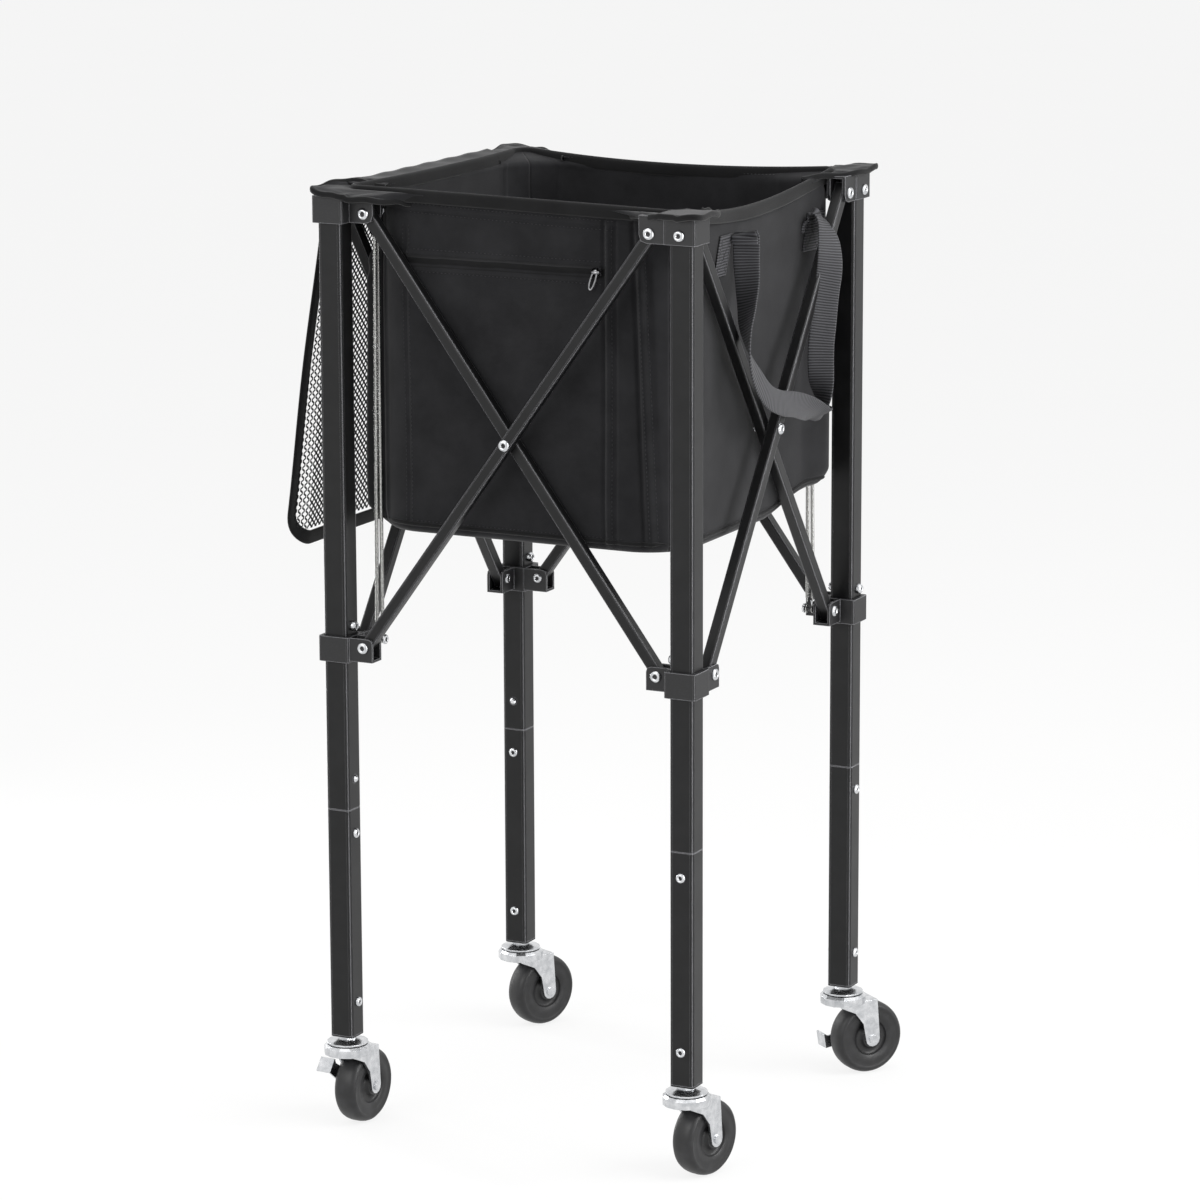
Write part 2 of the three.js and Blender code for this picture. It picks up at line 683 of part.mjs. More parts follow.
function bagTub() {
  const rings = [
    { inset: bag.bottomRound, z: () => bag.bottom },
    { inset: 0, z: () => bag.bottom + bag.bottomRound },
    { inset: 0, z: rimHeight },
    { inset: bag.wall, z: rimHeight },
    { inset: bag.wall, z: () => bag.bottom + bag.bottomRound + bag.floor },
    { inset: bag.bottomRound, z: () => bag.bottom + bag.floor },
  ].map(({ inset, z }) => bagRing(inset).map(([x, y, k, along]) => [x, y, z(k, along)]));
  const count = rings[0].length;
  const index = [];
  for (let r = 0; r + 1 < rings.length; r++) {
    for (let i = 0; i < count; i++) {
      const a = r * count + i;
      const b = r * count + ((i + 1) % count);
      index.push(a, b, b + count, a, b + count, a + count);
    }
  }
  const last = (rings.length - 1) * count;
  for (let i = 1; i + 1 < count; i++) index.push(0, i + 1, i, last, last + i, last + i + 1);
  const geometry = new THREE.BufferGeometry();
  geometry.setAttribute('position', new THREE.Float32BufferAttribute(rings.flat(2), 3));
  geometry.setIndex(index);
  return solid(geometry);
}

// A flap's outline over its bracket, in the corner's frame, as shares of the collar's half side and of the
// pivots' reach.
const flapShares = [[-1, -1, 0, 0], [1.4, -1, 0, 0], [0, 0, 1.6, 0.4], [0, 0, 1.6, 1], [0, 0, 1, 1.6],
  [0, 0, 0.4, 1.6], [-1, 1.4, 0, 0]];

function cornerFlap(k) {
  const c = collar.side / 2;
  const shape = new THREE.Shape(flapShares.map(([cx, cy, rx, ry]) =>
    new THREE.Vector2(cx * c + rx * frame.reach, cy * c + ry * frame.reach)));
  const low = frame.topPivot + topBracket.closed + fit;
  return prism(shape, low, low + bag.flap).translate([-half, -half, 0]).rotate([0, 0, 90 * k]);
}

// Where the right wall's outer face stands at a place along Y.
function rightWallAt(y) {
  const start = bag.corners[1] - bagHalf;
  const end = bagReach[2][1] - bag.corners[2];
  return sideReach(1, (y - start) / (end - start));
}

function handlePatch([from, to]) {
  const faces = [rightWallAt(from), rightWallAt(to)];
  return block([Math.min(...faces) - bag.wall / 2, from, handleHinge - handle.patchLength],
    [Math.max(...faces) + handle.patchThick, to, handleHinge]);
}

const shelfBottom = frame.topPivot + topBracket.closed + 4 * fit + bag.flap;
const hingeX = -(bagHalf + bag.shelf + fit);
const hingeZ = shelfBottom + bag.flap / 2;

function bagSolid() {
  const shelf = block([-(bagHalf + bag.shelf), -bag.shelfSide, shelfBottom],
    [bag.wall / 2 - bagHalf, bag.shelfSide, shelfBottom + bag.flap]);
  const flaps = CORNERS.map((_, k) => cornerFlap(k));
  return union([bagTub(), ...flaps, shelf, ...handle.patches.map(handlePatch)]);
}

// The lid: a net in a bound edge. It is drawn flat, with x along the hinge and the lid at -y, and then
// stood up.
function lidGeometry() {
  const w = lid.width / 2;
  const shape = new THREE.Shape();
  shape.moveTo(-w, 0);
  shape.lineTo(-w, lid.corner - lid.length);
  shape.quadraticCurveTo(-w, -lid.length, lid.corner - w, -lid.length);
  shape.lineTo(w - lid.corner, -lid.length);
  shape.quadraticCurveTo(w, -lid.length, w, lid.corner - lid.length);
  shape.lineTo(w, 0);
  shape.closePath();
  const side = w - lid.binding;
  const top = -lid.binding;
  const low = lid.binding - lid.length;
  const netBack = (lid.net - lid.thick) / 2;
  const field = block([-side, low, -lid.thick - overrun], [side, top, overrun]);
  let panel = prism(shape, -lid.thick, 0, curveFacets.lidCorner).subtract(field);
  panel = panel.add(block([-side, low, netBack - lid.net], [side, top, netBack]));
  const stepX = (2 * side - lid.strand) / lid.gapsAcross;
  const stepY = (top - low - lid.strand) / lid.gapsDown;
  for (let i = 0; i < lid.gapsAcross; i++) {
    for (let j = 0; j < lid.gapsDown; j++) {
      const x = lid.strand - side + i * stepX;
      const y = low + lid.strand + j * stepY;
      panel = panel.subtract(block([x, y, -lid.thick - overrun],
        [x + stepX - lid.strand, y + stepY - lid.strand, overrun]));
    }
  }
  const standing = new THREE.Matrix4().set(0, 0, 1, 0, 1, 0, 0, 0, 0, 1, 0, 0, 0, 0, 0, 1);
  return geometryOf(panel).applyMatrix4(standing);
}

// The handle: flat webbing swept along a loop. Each place on its route is a share of the way out from the
// wall to where it hangs, of the way from its front end to its rear end, and of its drop, and then the
// webbing's turn in degrees, from standing square to the wall at 0 to lying along it at 90.
const handleShares = [
  [0, 0, 0, 0], [0.01, 0, 0.14, 0], [0.13, -0.01, 0.23, 12], [0.27, -0.07, 0.37, 30],
  [0.51, -0.12, 0.49, 38], [0.69, -0.11, 0.62, 45], [0.86, -0.05, 0.77, 52], [0.97, 0.07, 0.88, 55],
  [1, 0.24, 0.96, 52], [1, 0.38, 1, 46], [1, 0.56, 0.99, 38], [1, 0.65, 0.89, 30], [0.91, 0.75, 0.73, 24],
  [0.87, 0.83, 0.57, 30], [0.82, 0.92, 0.42, 62], [0.78, 0.98, 0.27, 80], [0.69, 0.98, 0.15, 58],
  [0.33, 1, 0.08, 28], [0, 1, 0, 0],
];
const handleSteps = 36;
const handleSection = [[-1, -1], [1, -1], [1, 1], [-1, 1]];

function handleSolid() {
  const seats = handle.patches.map(([from, to]) =>
    Math.max(rightWallAt(from), rightWallAt(to)) + handle.patchThick + fit + handle.width / 2);
  const barFace = half + bar.outerPlane + bar.side / 2 + pin.rise;
  const hung = barFace + handle.stand + (handle.width * Math.SQRT1_2) / 2;
  const curve = new THREE.CatmullRomCurve3(handleShares.map(([out, along, down]) => {
    const wall = seats[along < 0.5 ? 0 : 1];
    return new THREE.Vector3(wall + (hung - wall) * out,
      handle.front + (handle.rear - handle.front) * along, handleHinge - fit - handle.drop * down);
  }), false, 'centripetal');
  const turnAt = (t) => {
    const place = t * (handleShares.length - 1);
    const i = Math.min(Math.floor(place), handleShares.length - 2);
    const [here, next] = [handleShares[i][3], handleShares[i + 1][3]];
    return THREE.MathUtils.degToRad(THREE.MathUtils.lerp(here, next, place - i));
  };
  const outwards = new THREE.Vector3(1, 0, 0);
  const positions = [];
  const index = [];
  for (let i = 0; i <= handleSteps; i++) {
    const p = curve.getPoint(i / handleSteps);
    const along = curve.getTangent(i / handleSteps);
    const level = outwards.clone().addScaledVector(along, -along.dot(outwards)).normalize();
    const wide = level.clone().applyAxisAngle(along, turnAt(i / handleSteps));
    const thick = wide.clone().cross(along).normalize();
    for (const [a, b] of handleSection) {
      const q = p.clone().addScaledVector(wide, (a * handle.width) / 2)
        .addScaledVector(thick, (b * handle.thick) / 2);
      positions.push(q.x, q.y, q.z);
    }
  }
  const sides = handleSection.length;
  for (let i = 0; i < handleSteps; i++) {
    for (let s = 0; s < sides; s++) {
      const a = i * sides + s;
      const b = i * sides + ((s + 1) % sides);
      index.push(a, b + sides, b, a, a + sides, b + sides);
    }
  }
  const last = handleSteps * sides;
  index.push(0, 1, 2, 0, 2, 3, last, last + 2, last + 1, last, last + 3, last + 2);
  const geometry = new THREE.BufferGeometry();
  geometry.setAttribute('position', new THREE.Float32BufferAttribute(positions, 3));
  geometry.setIndex(index);
  return geometry;
}

// The zip's slider and its pull tab, in front of the bag.

function zipSlider() {
  const [x, y, z] = zip.body;
  const back = -bagHalf - fit;
  return block([zip.place - x / 2, back - y, zipHeight - z / 2],
    [zip.place + x / 2, back, zipHeight + z / 2]);
}

// The tab hangs in front of the slider from a point at the slider's middle.
function zipPull() {
  const [x, y, z] = zip.tab;
  const top = zipHeight + x / 2;
  const back = -bagHalf - 2 * fit - zip.body[1];
  return block([zip.place - x / 2, back - y, top - z], [zip.place + x / 2, back, top]);
}

// The assembly.

const group = new THREE.Group();

function add(name, geometry, material, parent = group) {
  const mesh = new THREE.Mesh(geometry, material);
  mesh.name = name;
  parent.add(mesh);
  return mesh;
}

// A group at corner k, turned so that +x runs towards the next corner.
function cornerGroup(k) {
  const turn = new THREE.Group();
  turn.rotation.z = (k * Math.PI) / 2;
  const place = new THREE.Group();
  place.position.set(-half, -half, 0);
  turn.add(place);
  group.add(turn);
  return place;
}

CORNERS.forEach((corner, k) => {
  const local = cornerGroup(k);
  add(`upper_leg_${corner}`, geometryOf(upperLeg(k)), finishes.leg(), local);
  add(`lower_leg_${corner}`, geometryOf(lowerLeg()), finishes.leg(), local);
  add(`lock_button_${corner}`, geometryOf(lockButton()), finishes.button(), local);
  add(`end_cap_${corner}`, geometryOf(legEndCap()), finishes.plastic(), local);
  add(`top_bracket_${corner}`, geometryOf(topBracketSolid(k)), finishes.bracket(), local);
  add(`slider_${corner}`, geometryOf(sliderSolid(k)), finishes.bracket(), local);

  const sideName = ['front', 'right', 'rear', 'left'][k];
  const inner = add(`bar_${sideName}_inner`, geometryOf(innerBar()), finishes.bar(), local);
  inner.position.set(half, bar.innerPlane, crossing);
  inner.rotation.y = -barAngle;
  const outer = add(`bar_${sideName}_outer`, geometryOf(outerBar()), finishes.bar(), local);
  outer.position.set(half, -bar.outerPlane, crossing);
  outer.rotation.y = barAngle;

  if (hasSprings(k)) {
    spring.topPlaces.forEach((_, which) =>
      add(`spring_${corner}_${which + 1}`, springGeometry(which), finishes.spring(), local));
  }

  const swivel = new THREE.Group();
  const angle = (k * Math.PI) / 2;
  const [sine, cosine] = [Math.sin(angle), Math.cos(angle)];
  swivel.position.set(half * (sine - cosine), -half * (sine + cosine), 0);
  swivel.rotation.z = THREE.MathUtils.degToRad(caster.trails[k]);
  group.add(swivel);
  const braked = brake.corners.indexOf(corner);
  add(`caster_stem_${corner}`, geometryOf(casterStem()), finishes.zinc(), swivel);
  add(`caster_fork_${corner}`, geometryOf(casterFork(braked >= 0)), finishes.zinc(), swivel);
  add(`caster_wheel_${corner}`, geometryOf(casterWheel()), finishes.tyre(), swivel);
  if (braked >= 0) {
    add(`brake_lever_${corner}`, geometryOf(brakeLever(brake.angles[braked])), finishes.zinc(), swivel);
  }
});

add('bag', geometryOf(bagSolid()), finishes.fabric());

const lidMesh = add('lid', lidGeometry(), finishes.net());
lidMesh.position.set(hingeX, 0, hingeZ);
lidMesh.rotation.y = THREE.MathUtils.degToRad(lid.lean);

add('handle', handleSolid(), finishes.webbing());
add('zip_slider', geometryOf(zipSlider()), finishes.button());
add('zip_pull', geometryOf(zipPull()), finishes.button());

// The origin is on the floor, under the middle of the whole part's box.
const middle = new THREE.Box3().setFromObject(group, true).getCenter(new THREE.Vector3());
group.position.set(-middle.x, -middle.y, 0);

export default group;
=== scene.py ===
"""Looks of a folding ball hopper on casters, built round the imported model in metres.

Places of soft pieces are written in millimetres from the middle between the legs, on the floor: x to the right
of the zipped front, y to the back, z up. `place` turns them into metres in the model's own frame.
"""

import math

import bpy
import numpy as np
from mathutils import Matrix, Vector


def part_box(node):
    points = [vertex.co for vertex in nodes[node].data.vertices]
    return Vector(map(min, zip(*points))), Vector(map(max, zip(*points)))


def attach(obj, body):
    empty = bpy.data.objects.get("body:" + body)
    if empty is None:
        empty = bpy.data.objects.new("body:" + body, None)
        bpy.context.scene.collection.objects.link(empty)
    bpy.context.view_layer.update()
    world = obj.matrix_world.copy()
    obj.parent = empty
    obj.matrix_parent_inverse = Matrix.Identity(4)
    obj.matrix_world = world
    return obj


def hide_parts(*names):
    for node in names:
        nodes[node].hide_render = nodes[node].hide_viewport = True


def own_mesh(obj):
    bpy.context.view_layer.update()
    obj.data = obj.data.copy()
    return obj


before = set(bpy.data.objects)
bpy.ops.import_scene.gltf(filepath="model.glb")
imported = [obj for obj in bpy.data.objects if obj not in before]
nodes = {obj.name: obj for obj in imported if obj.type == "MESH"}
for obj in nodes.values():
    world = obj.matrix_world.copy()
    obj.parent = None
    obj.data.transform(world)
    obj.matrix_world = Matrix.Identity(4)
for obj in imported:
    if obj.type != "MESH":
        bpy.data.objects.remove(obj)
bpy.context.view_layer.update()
MM = 0.001
TURN = 2 * math.pi

# ---------------- places taken from the model


def middle_of(node):
    """The middle of a node's box."""
    low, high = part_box(node)
    return (low + high) / 2


CENTRE = (middle_of("end_cap_a") + middle_of("end_cap_c")) / 2
CENTRE.z = 0
HALF = (middle_of("end_cap_b").x - middle_of("end_cap_a").x) / 2 / MM  # from the middle to a leg's axis
LEG = (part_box("end_cap_a")[1].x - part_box("end_cap_a")[0].x) / 2 / MM  # half a leg's side
CORNERS = "abcd"
SIDES = ("front", "right", "rear", "left")


def place(points):
    """Millimetres from the legs' middle, as metres in the model's frame."""
    return np.asarray(points, float) * MM + np.array(CENTRE)


def quarter(points, k):
    """Points drawn at corner or side a, turned by k quarter turns about the legs' middle."""
    c, s = ((1, 0), (0, 1), (-1, 0), (0, -1))[k % 4]
    p = np.asarray(points, float)
    return np.stack([p[..., 0] * c - p[..., 1] * s, p[..., 0] * s + p[..., 1] * c, p[..., 2]], -1)


def at_corner(points, k):
    """Points in a corner's own frame: its leg's axis is the origin and +x runs to the next corner."""
    return quarter(np.asarray(points, float) + [-HALF, -HALF, 0], k)


# ---------------- meshes


def mesh_object(name, points, faces, uv=None, material=None, smooth=True):
    """An object at the origin from points in millimetres, with uv as one pair in metres for each point."""
    mesh = bpy.data.meshes.new(name)
    mesh.from_pydata(place(points).tolist(), [], faces.tolist() if isinstance(faces, np.ndarray) else faces)
    if uv is not None:
        layer = mesh.uv_layers.new(name="cloth")
        loops = np.empty(len(mesh.loops), np.int32)
        mesh.loops.foreach_get("vertex_index", loops)
        layer.data.foreach_set("uv", np.asarray(uv, float)[loops].ravel())
    mesh.polygons.foreach_set("use_smooth", np.full(len(mesh.polygons), smooth))
    obj = bpy.data.objects.new(name, mesh)
    bpy.context.scene.collection.objects.link(obj)
    if material:
        mesh.materials.append(material)
    return obj


def grid_faces(rows, columns, wrap_rows=False, wrap_columns=False):
    """Quads between neighbouring points of a grid that is stored row by row."""
    r = np.arange(rows if wrap_rows else rows - 1)
    c = np.arange(columns if wrap_columns else columns - 1)
    r, c = np.meshgrid(r, c, indexing="ij")
    r1, c1 = (r + 1) % rows, (c + 1) % columns
    return np.stack([r * columns + c, r * columns + c1, r1 * columns + c1, r1 * columns + c], -1).reshape(-1, 4)


def surface(name, points, material, uv=None, wrap_rows=False, wrap_columns=False):
    """A mesh over a grid of points, shaped (rows, columns, 3)."""
    rows, columns = points.shape[:2]
    faces = grid_faces(rows, columns, wrap_rows, wrap_columns)
    uv = None if uv is None else np.asarray(uv).reshape(-1, 2)
    return mesh_object(name, points.reshape(-1, 3), faces, uv, material)


def swept(path, section, up=(0, 0, 1), closed=False, scale=None):
    """A section (n, 2) carried along a path (m, 3): the first axis runs across, the second away from `up`."""
    path = np.asarray(path, float)
    along = np.gradient(path, axis=0) if not closed else np.roll(path, -1, 0) - np.roll(path, 1, 0)
    along /= np.linalg.norm(along, axis=1, keepdims=True)
    across = np.cross(along, np.broadcast_to(np.asarray(up, float), path.shape))
    across /= np.linalg.norm(across, axis=1, keepdims=True)
    out = np.cross(across, along)
    size = np.ones(len(path)) if scale is None else np.asarray(scale, float)
    section = np.asarray(section, float)
    return (path[:, None] + size[:, None, None] * (section[None, :, :1] * across[:, None]
                                                  + section[None, :, 1:] * out[:, None]))


def ring(radius, sides, high=None):
    """Points round an ellipse, for a section."""
    a = np.arange(sides) * TURN / sides
    return np.stack([radius * np.cos(a), (high or radius) * np.sin(a)], -1)


def tube_parts(points):
    """Vertices and faces of a tube over a grid (rows along it), with both ends closed by a fan."""
    rows, columns = points.shape[:2]
    faces = grid_faces(rows, columns, wrap_columns=True).tolist()
    faces.append(list(range(columns))[::-1])
    faces.append([(rows - 1) * columns + i for i in range(columns)])
    return points.reshape(-1, 3), faces


def joined(name, parts, material, uv=None):
    """One object from several (points, faces) pairs."""
    points, faces, start = [], [], 0
    for p, f in parts:
        points.append(p)
        faces += [[i + start for i in face] for face in f]
        start += len(p)
    return mesh_object(name, np.concatenate(points), faces, uv, material)


def turned_parts(profile, centre, direction):
    """A profile (radius, height) turned in 20 steps about a line through `centre` along `direction`."""
    d = np.asarray(direction, float) / np.linalg.norm(direction)
    a = np.cross(d, [0, 0, 1] if abs(d[2]) < 0.9 else [1, 0, 0])
    a /= np.linalg.norm(a)
    b = np.cross(d, a)
    t = np.arange(20) * TURN / 20
    circle = np.cos(t)[:, None] * a + np.sin(t)[:, None] * b
    profile = np.asarray(profile, float)
    points = np.asarray(centre, float) + profile[:, None, :1] * circle[None] + profile[:, None, 1:] * d
    return tube_parts(points)


def way_along(points):
    """The distance along a line of points up to each of them."""
    return np.concatenate([[0], np.linalg.norm(np.diff(points, axis=0), axis=1).cumsum()])


def metre_map(first, second):
    """A map in metres from two sets of distances in millimetres that are spread over a grid."""
    return np.stack(np.broadcast_arrays(first, second), -1) * MM


def thicken(piece, thickness, offset=0):
    """Gives a sheet its thickness in millimetres: on both sides of it, or inwards where the offset is -1."""
    solidify = piece.modifiers.new("thickness", "SOLIDIFY")
    solidify.thickness = thickness * MM
    solidify.offset = offset


def smoothstep(x):
    """0 up to x = 0, 1 from x = 1 on, and 3xx - 2xxx between them."""
    x = np.clip(x, 0, 1)
    return x * x * (3 - 2 * x)


def bump(x, centre, width):
    """A smooth hill of height 1 whose foot is `width` from its centre."""
    return smoothstep(1 - np.abs(x - centre) / width)


# ---------------- materials


def rgb(code):
    """An sRGB hex colour as the linear one that the shaders take."""
    s = [int(code[i:i + 2], 16) / 255 for i in (1, 3, 5)]
    return tuple(c / 12.92 if c <= 0.04045 else ((c + 0.055) / 1.055) ** 2.4 for c in s) + (1.0,)


def node(tree, kind, links=None, **settings):
    """Adds a shader node; settings are its properties, or values of its inputs where they have that name."""
    made = tree.nodes.new("ShaderNode" + kind)
    for key, value in settings.items():
        name = key.replace("_", " ")
        if hasattr(made, key):
            setattr(made, key, value)
        else:
            made.inputs[int(key[1:]) if key[0] == "i" and key[1:].isdigit() else name].default_value = value
    for key, source in (links or {}).items():
        tree.links.new(source, made.inputs[key])
    return made


def finish(name, colour, roughness, metallic=0.0, specular=0.5, sheen=0.0):
    """A material with its plain values on the Principled shader's own sockets."""
    m = bpy.data.materials.new(name)
    m.use_nodes = True
    b = m.node_tree.nodes["Principled BSDF"]
    b.inputs["Base Color"].default_value = rgb(colour)
    b.inputs["Roughness"].default_value = roughness
    b.inputs["Metallic"].default_value = metallic
    b.inputs["Specular IOR Level"].default_value = specular
    b.inputs["Sheen Weight"].default_value = sheen
    return m, m.node_tree, b


def clouds(tree, scale, detail=3.0, marks=(0, 1), into=(0, 1), roughness=0.5):
    """Noise in the object's own frame, with `scale` patches to the metre, each 1000 / scale millimetres wide.

    Its values from one mark to the other run evenly over `into`, and stop at its ends."""
    where = node(tree, "TexCoord").outputs["Object"]
    value = node(tree, "TexNoise", {"Vector": where}, Scale=scale, Detail=detail, Roughness=roughness).outputs["Fac"]
    return node(tree, "MapRange", {"Value": value}, i1=marks[0], i2=marks[1], i3=into[0], i4=into[1]).outputs["Result"]


def roughen(tree, shader, height, distance, strength=1.0, edge=0.0):
    """Relief of `distance` metres from a height, on edges that are rounded where an edge radius is given."""
    links = {"Height": height}
    if edge:
        links["Normal"] = node(tree, "Bevel", Radius=edge).outputs["Normal"]
    made = node(tree, "Bump", links, Distance=distance, Strength=strength)
    tree.links.new(made.outputs["Normal"], shader.inputs["Normal"])


def stripes(tree, coordinate, pitch):
    """A sine along a coordinate in metres that repeats every `pitch` millimetres."""
    turns = node(tree, "Math", {0: coordinate}, operation="MULTIPLY", i1=TURN / (pitch * MM)).outputs[0]
    return node(tree, "Math", {0: turns}, operation="SINE").outputs[0]


def painted_edge_highlights(tree, shader, factor, dark, light, radius):
    """Colours a shader between two tones by a factor, with a light grey highlight painted along its edges.

    An edge is where the normal, rounded within `radius` metres, turns away from the true one."""
    face = node(tree, "MixRGB", {"Fac": factor}, Color1=rgb(dark), Color2=rgb(light)).outputs["Color"]
    rounded = node(tree, "Bevel", Radius=radius).outputs["Normal"]
    flat = node(tree, "NewGeometry").outputs["True Normal"]
    match = node(tree, "VectorMath", {0: rounded, 1: flat}, operation="DOT_PRODUCT").outputs["Value"]
    highlight_mask = node(tree, "MapRange", {"Value": match}, i1=0.985, i2=0.86).outputs["Result"]
    # The light grey is a painted highlight: it stands in for the glints of lamps on the rounded edges.
    mixed = node(tree, "MixRGB", {"Fac": highlight_mask, "Color1": face}, Color2=rgb("#939397"))
    tree.links.new(mixed.outputs["Color"], shader.inputs["Base Color"])


def satin_paint():
    """Black polyester powder coat on steel tube: a fine orange peel, faint scuffs, and a highlight painted along its
    edges.
    """
    m, t, b = finish("satin_black_powder_coat", "#101011", 0.36, specular=0.32)
    # The tube's edges get a painted highlight.
    painted_edge_highlights(t, b, clouds(t, 55, 4, marks=(0.4, 0.75)), "#0d0d0e", "#141415", 0.0016)
    t.links.new(clouds(t, 25, 5, into=(0.3, 0.44)), b.inputs["Roughness"])
    roughen(t, b, clouds(t, 900, 2), 0.00004, 0.5, edge=0.0012)
    return m


def textured_paint():
    """Black wrinkle paint on pressed steel brackets: a leathery grain of about 1 mm that scatters the light."""
    m, t, b = finish("wrinkle_black_paint", "#1d1d1e", 0.5, specular=0.45)
    where = node(t, "TexCoord").outputs["Object"]
    grain = node(t, "TexVoronoi", {"Vector": where}, Scale=900, feature="SMOOTH_F1").outputs["Distance"]
    # The brackets' edges get a painted highlight.
    painted_edge_highlights(t, b, grain, "#121213", "#202022", 0.0012)
    roughen(t, b, grain, 0.00015, 0.6, edge=0.0008)
    return m


def clouded(base, tones, cloud, grain, depth, gloss=None, strength=0.4, edge=0.0):
    """A hard finish from noise: soft clouds of colour, and a fine grain in the surface.

    base is what `finish` takes, tones the two colours, cloud and gloss what `clouds` takes for the colour and for the
    roughness, grain the grain's scale and depth its depth in metres."""
    m, t, b = finish(**base)
    mixed = node(t, "MixRGB", {"Fac": clouds(t, **cloud)}, Color1=rgb(tones[0]), Color2=rgb(tones[1]))
    t.links.new(mixed.outputs["Color"], b.inputs["Base Color"])
    if gloss:
        t.links.new(clouds(t, **gloss), b.inputs["Roughness"])
    roughen(t, b, clouds(t, grain, 2), depth, strength, edge)
    return m


def woven(name, dark, light, thread, relief):
    """Plain-woven polyester: threads over and under each other every `thread` millimetres, in the cloth's own map.

    The real thread is about 0.5 mm; it is drawn coarser so that it shows at this size."""
    m, t, b = finish(name, dark, 0.9, specular=0.18, sheen=0.15)
    b.inputs["Sheen Roughness"].default_value = 0.5
    split = node(t, "SeparateXYZ", {"Vector": node(t, "UVMap").outputs["UV"]})
    waves = [stripes(t, split.outputs[axis], thread) for axis in "XY"]
    weave = node(t, "Math", {0: waves[0], 1: waves[1]}, operation="MULTIPLY").outputs[0]
    cloud = clouds(t, 28, 5, marks=(0.3, 0.75), roughness=0.6)
    blend = node(t, "Math", {0: weave, 2: cloud}, operation="MULTIPLY_ADD", i1=0.12).outputs[0]
    mixed = node(t, "MixRGB", {"Fac": blend}, Color1=rgb(dark), Color2=rgb(light))
    t.links.new(mixed.outputs["Color"], b.inputs["Base Color"])
    roughen(t, b, weave, relief * MM, 0.5)
    return m


def ribbed_webbing():
    """Polypropylene webbing: ribs across the strap every 2.7 mm, a slightly shiny yarn."""
    m, t, b = finish("ribbed_webbing", "#242426", 0.62, specular=0.35, sheen=0.1)
    split = node(t, "SeparateXYZ", {"Vector": node(t, "UVMap").outputs["UV"]})
    rib = stripes(t, split.outputs["Y"], 2.7)
    height = node(t, "MapRange", {"Value": rib}, i1=-1.0, i2=1.0).outputs["Result"]
    mixed = node(t, "MixRGB", {"Fac": height}, Color1=rgb("#101012"), Color2=rgb("#4a4a4e"))
    t.links.new(mixed.outputs["Color"], b.inputs["Base Color"])
    roughen(t, b, height, 0.0004, 0.7)
    return m


# Polishing and drawing marks, moulded grain and a thread's twist are about 0.1 mm on the real things. They are drawn
# 0.25 to 0.8 mm wide, so that they show in a render of the whole hopper.
PAINT = satin_paint()
WRINKLE = textured_paint()
# Bright zinc plate on steel: mirror-like, with cloudy passivation and fine polishing marks.
ZINC = clouded(dict(name="bright_zinc_plate", colour="#d3d4d6", roughness=0.2, metallic=1.0), ("#b9bbbe", "#dcdddf"),
               dict(scale=140, detail=4, marks=(0.3, 0.7)), grain=1500, depth=0.00003, edge=0.0006,
               gloss=dict(scale=260, into=(0.16, 0.34)))
# Moulded black rubber wheel: a soft gloss on the tread, dulled by fine dust.
RUBBER = clouded(dict(name="moulded_hard_rubber", colour="#1a1a1b", roughness=0.45), ("#151516", "#242426"),
                 dict(scale=90, detail=4, marks=(0.45, 0.8)), grain=1200, depth=0.00005, strength=0.5,
                 gloss=dict(scale=60, detail=4, into=(0.34, 0.6)))
# Injection-moulded black polyethylene: a fine spark-eroded grain, low gloss.
PLASTIC = clouded(dict(name="moulded_black_plastic", colour="#131314", roughness=0.5, specular=0.4),
                  ("#101011", "#1a1a1b"), dict(scale=200, detail=2), grain=2500, depth=0.00004, strength=0.5,
                  edge=0.0006)
CLOTH = woven("woven_polyester", "#151517", "#232325", 1.7, 0.05)
BINDING = woven("binding_tape", "#0b0b0c", "#161617", 1.2, 0.06)
NET = woven("knitted_net_yarn", "#151517", "#212123", 1.0, 0.03)
WEBBING = ribbed_webbing()
# Twisted polyester sewing thread: dark grey, a little glossier than the cloth that it lies on.
THREAD = clouded(dict(name="polyester_thread", colour="#2c2c2e", roughness=0.6, specular=0.35),
                 ("#232325", "#39393b"), dict(scale=700, detail=2), grain=4000, depth=0.00005, strength=0.6)
# Nickel-plated spring wire: bright, with a faint drawing grain.
SPRING = clouded(dict(name="nickel_plated_wire", colour="#c4c4c2", roughness=0.26, metallic=1.0),
                 ("#a8a8a6", "#d6d6d4"), dict(scale=300), grain=3000, depth=0.00002)
# Black-nickel plated zinc casting, as on zip sliders: dark and glossy.
GUNMETAL = clouded(dict(name="black_nickel_plate", colour="#5a5a5c", roughness=0.24, metallic=1.0),
                   ("#6a6a6c", "#b0b0b2"), dict(scale=400), grain=2500, depth=0.00002)

FINISH_OF = {
    "upper_leg": PAINT, "lower_leg": PAINT, "lock_button": ZINC, "end_cap": PLASTIC, "top_bracket": WRINKLE,
    "slider": WRINKLE, "caster_stem": ZINC, "caster_fork": ZINC, "caster_wheel": RUBBER, "brake_lever": ZINC,
    "bar": PAINT, "spring": ZINC, "bag": CLOTH, "lid": NET, "handle": WEBBING, "zip": PLASTIC,
}
for name, obj in nodes.items():
    stem = next(key for key in sorted(FINISH_OF, key=len, reverse=True) if name.startswith(key))
    obj.data.materials.clear()
    obj.data.materials.append(FINISH_OF[stem])

# ---------------- rivets

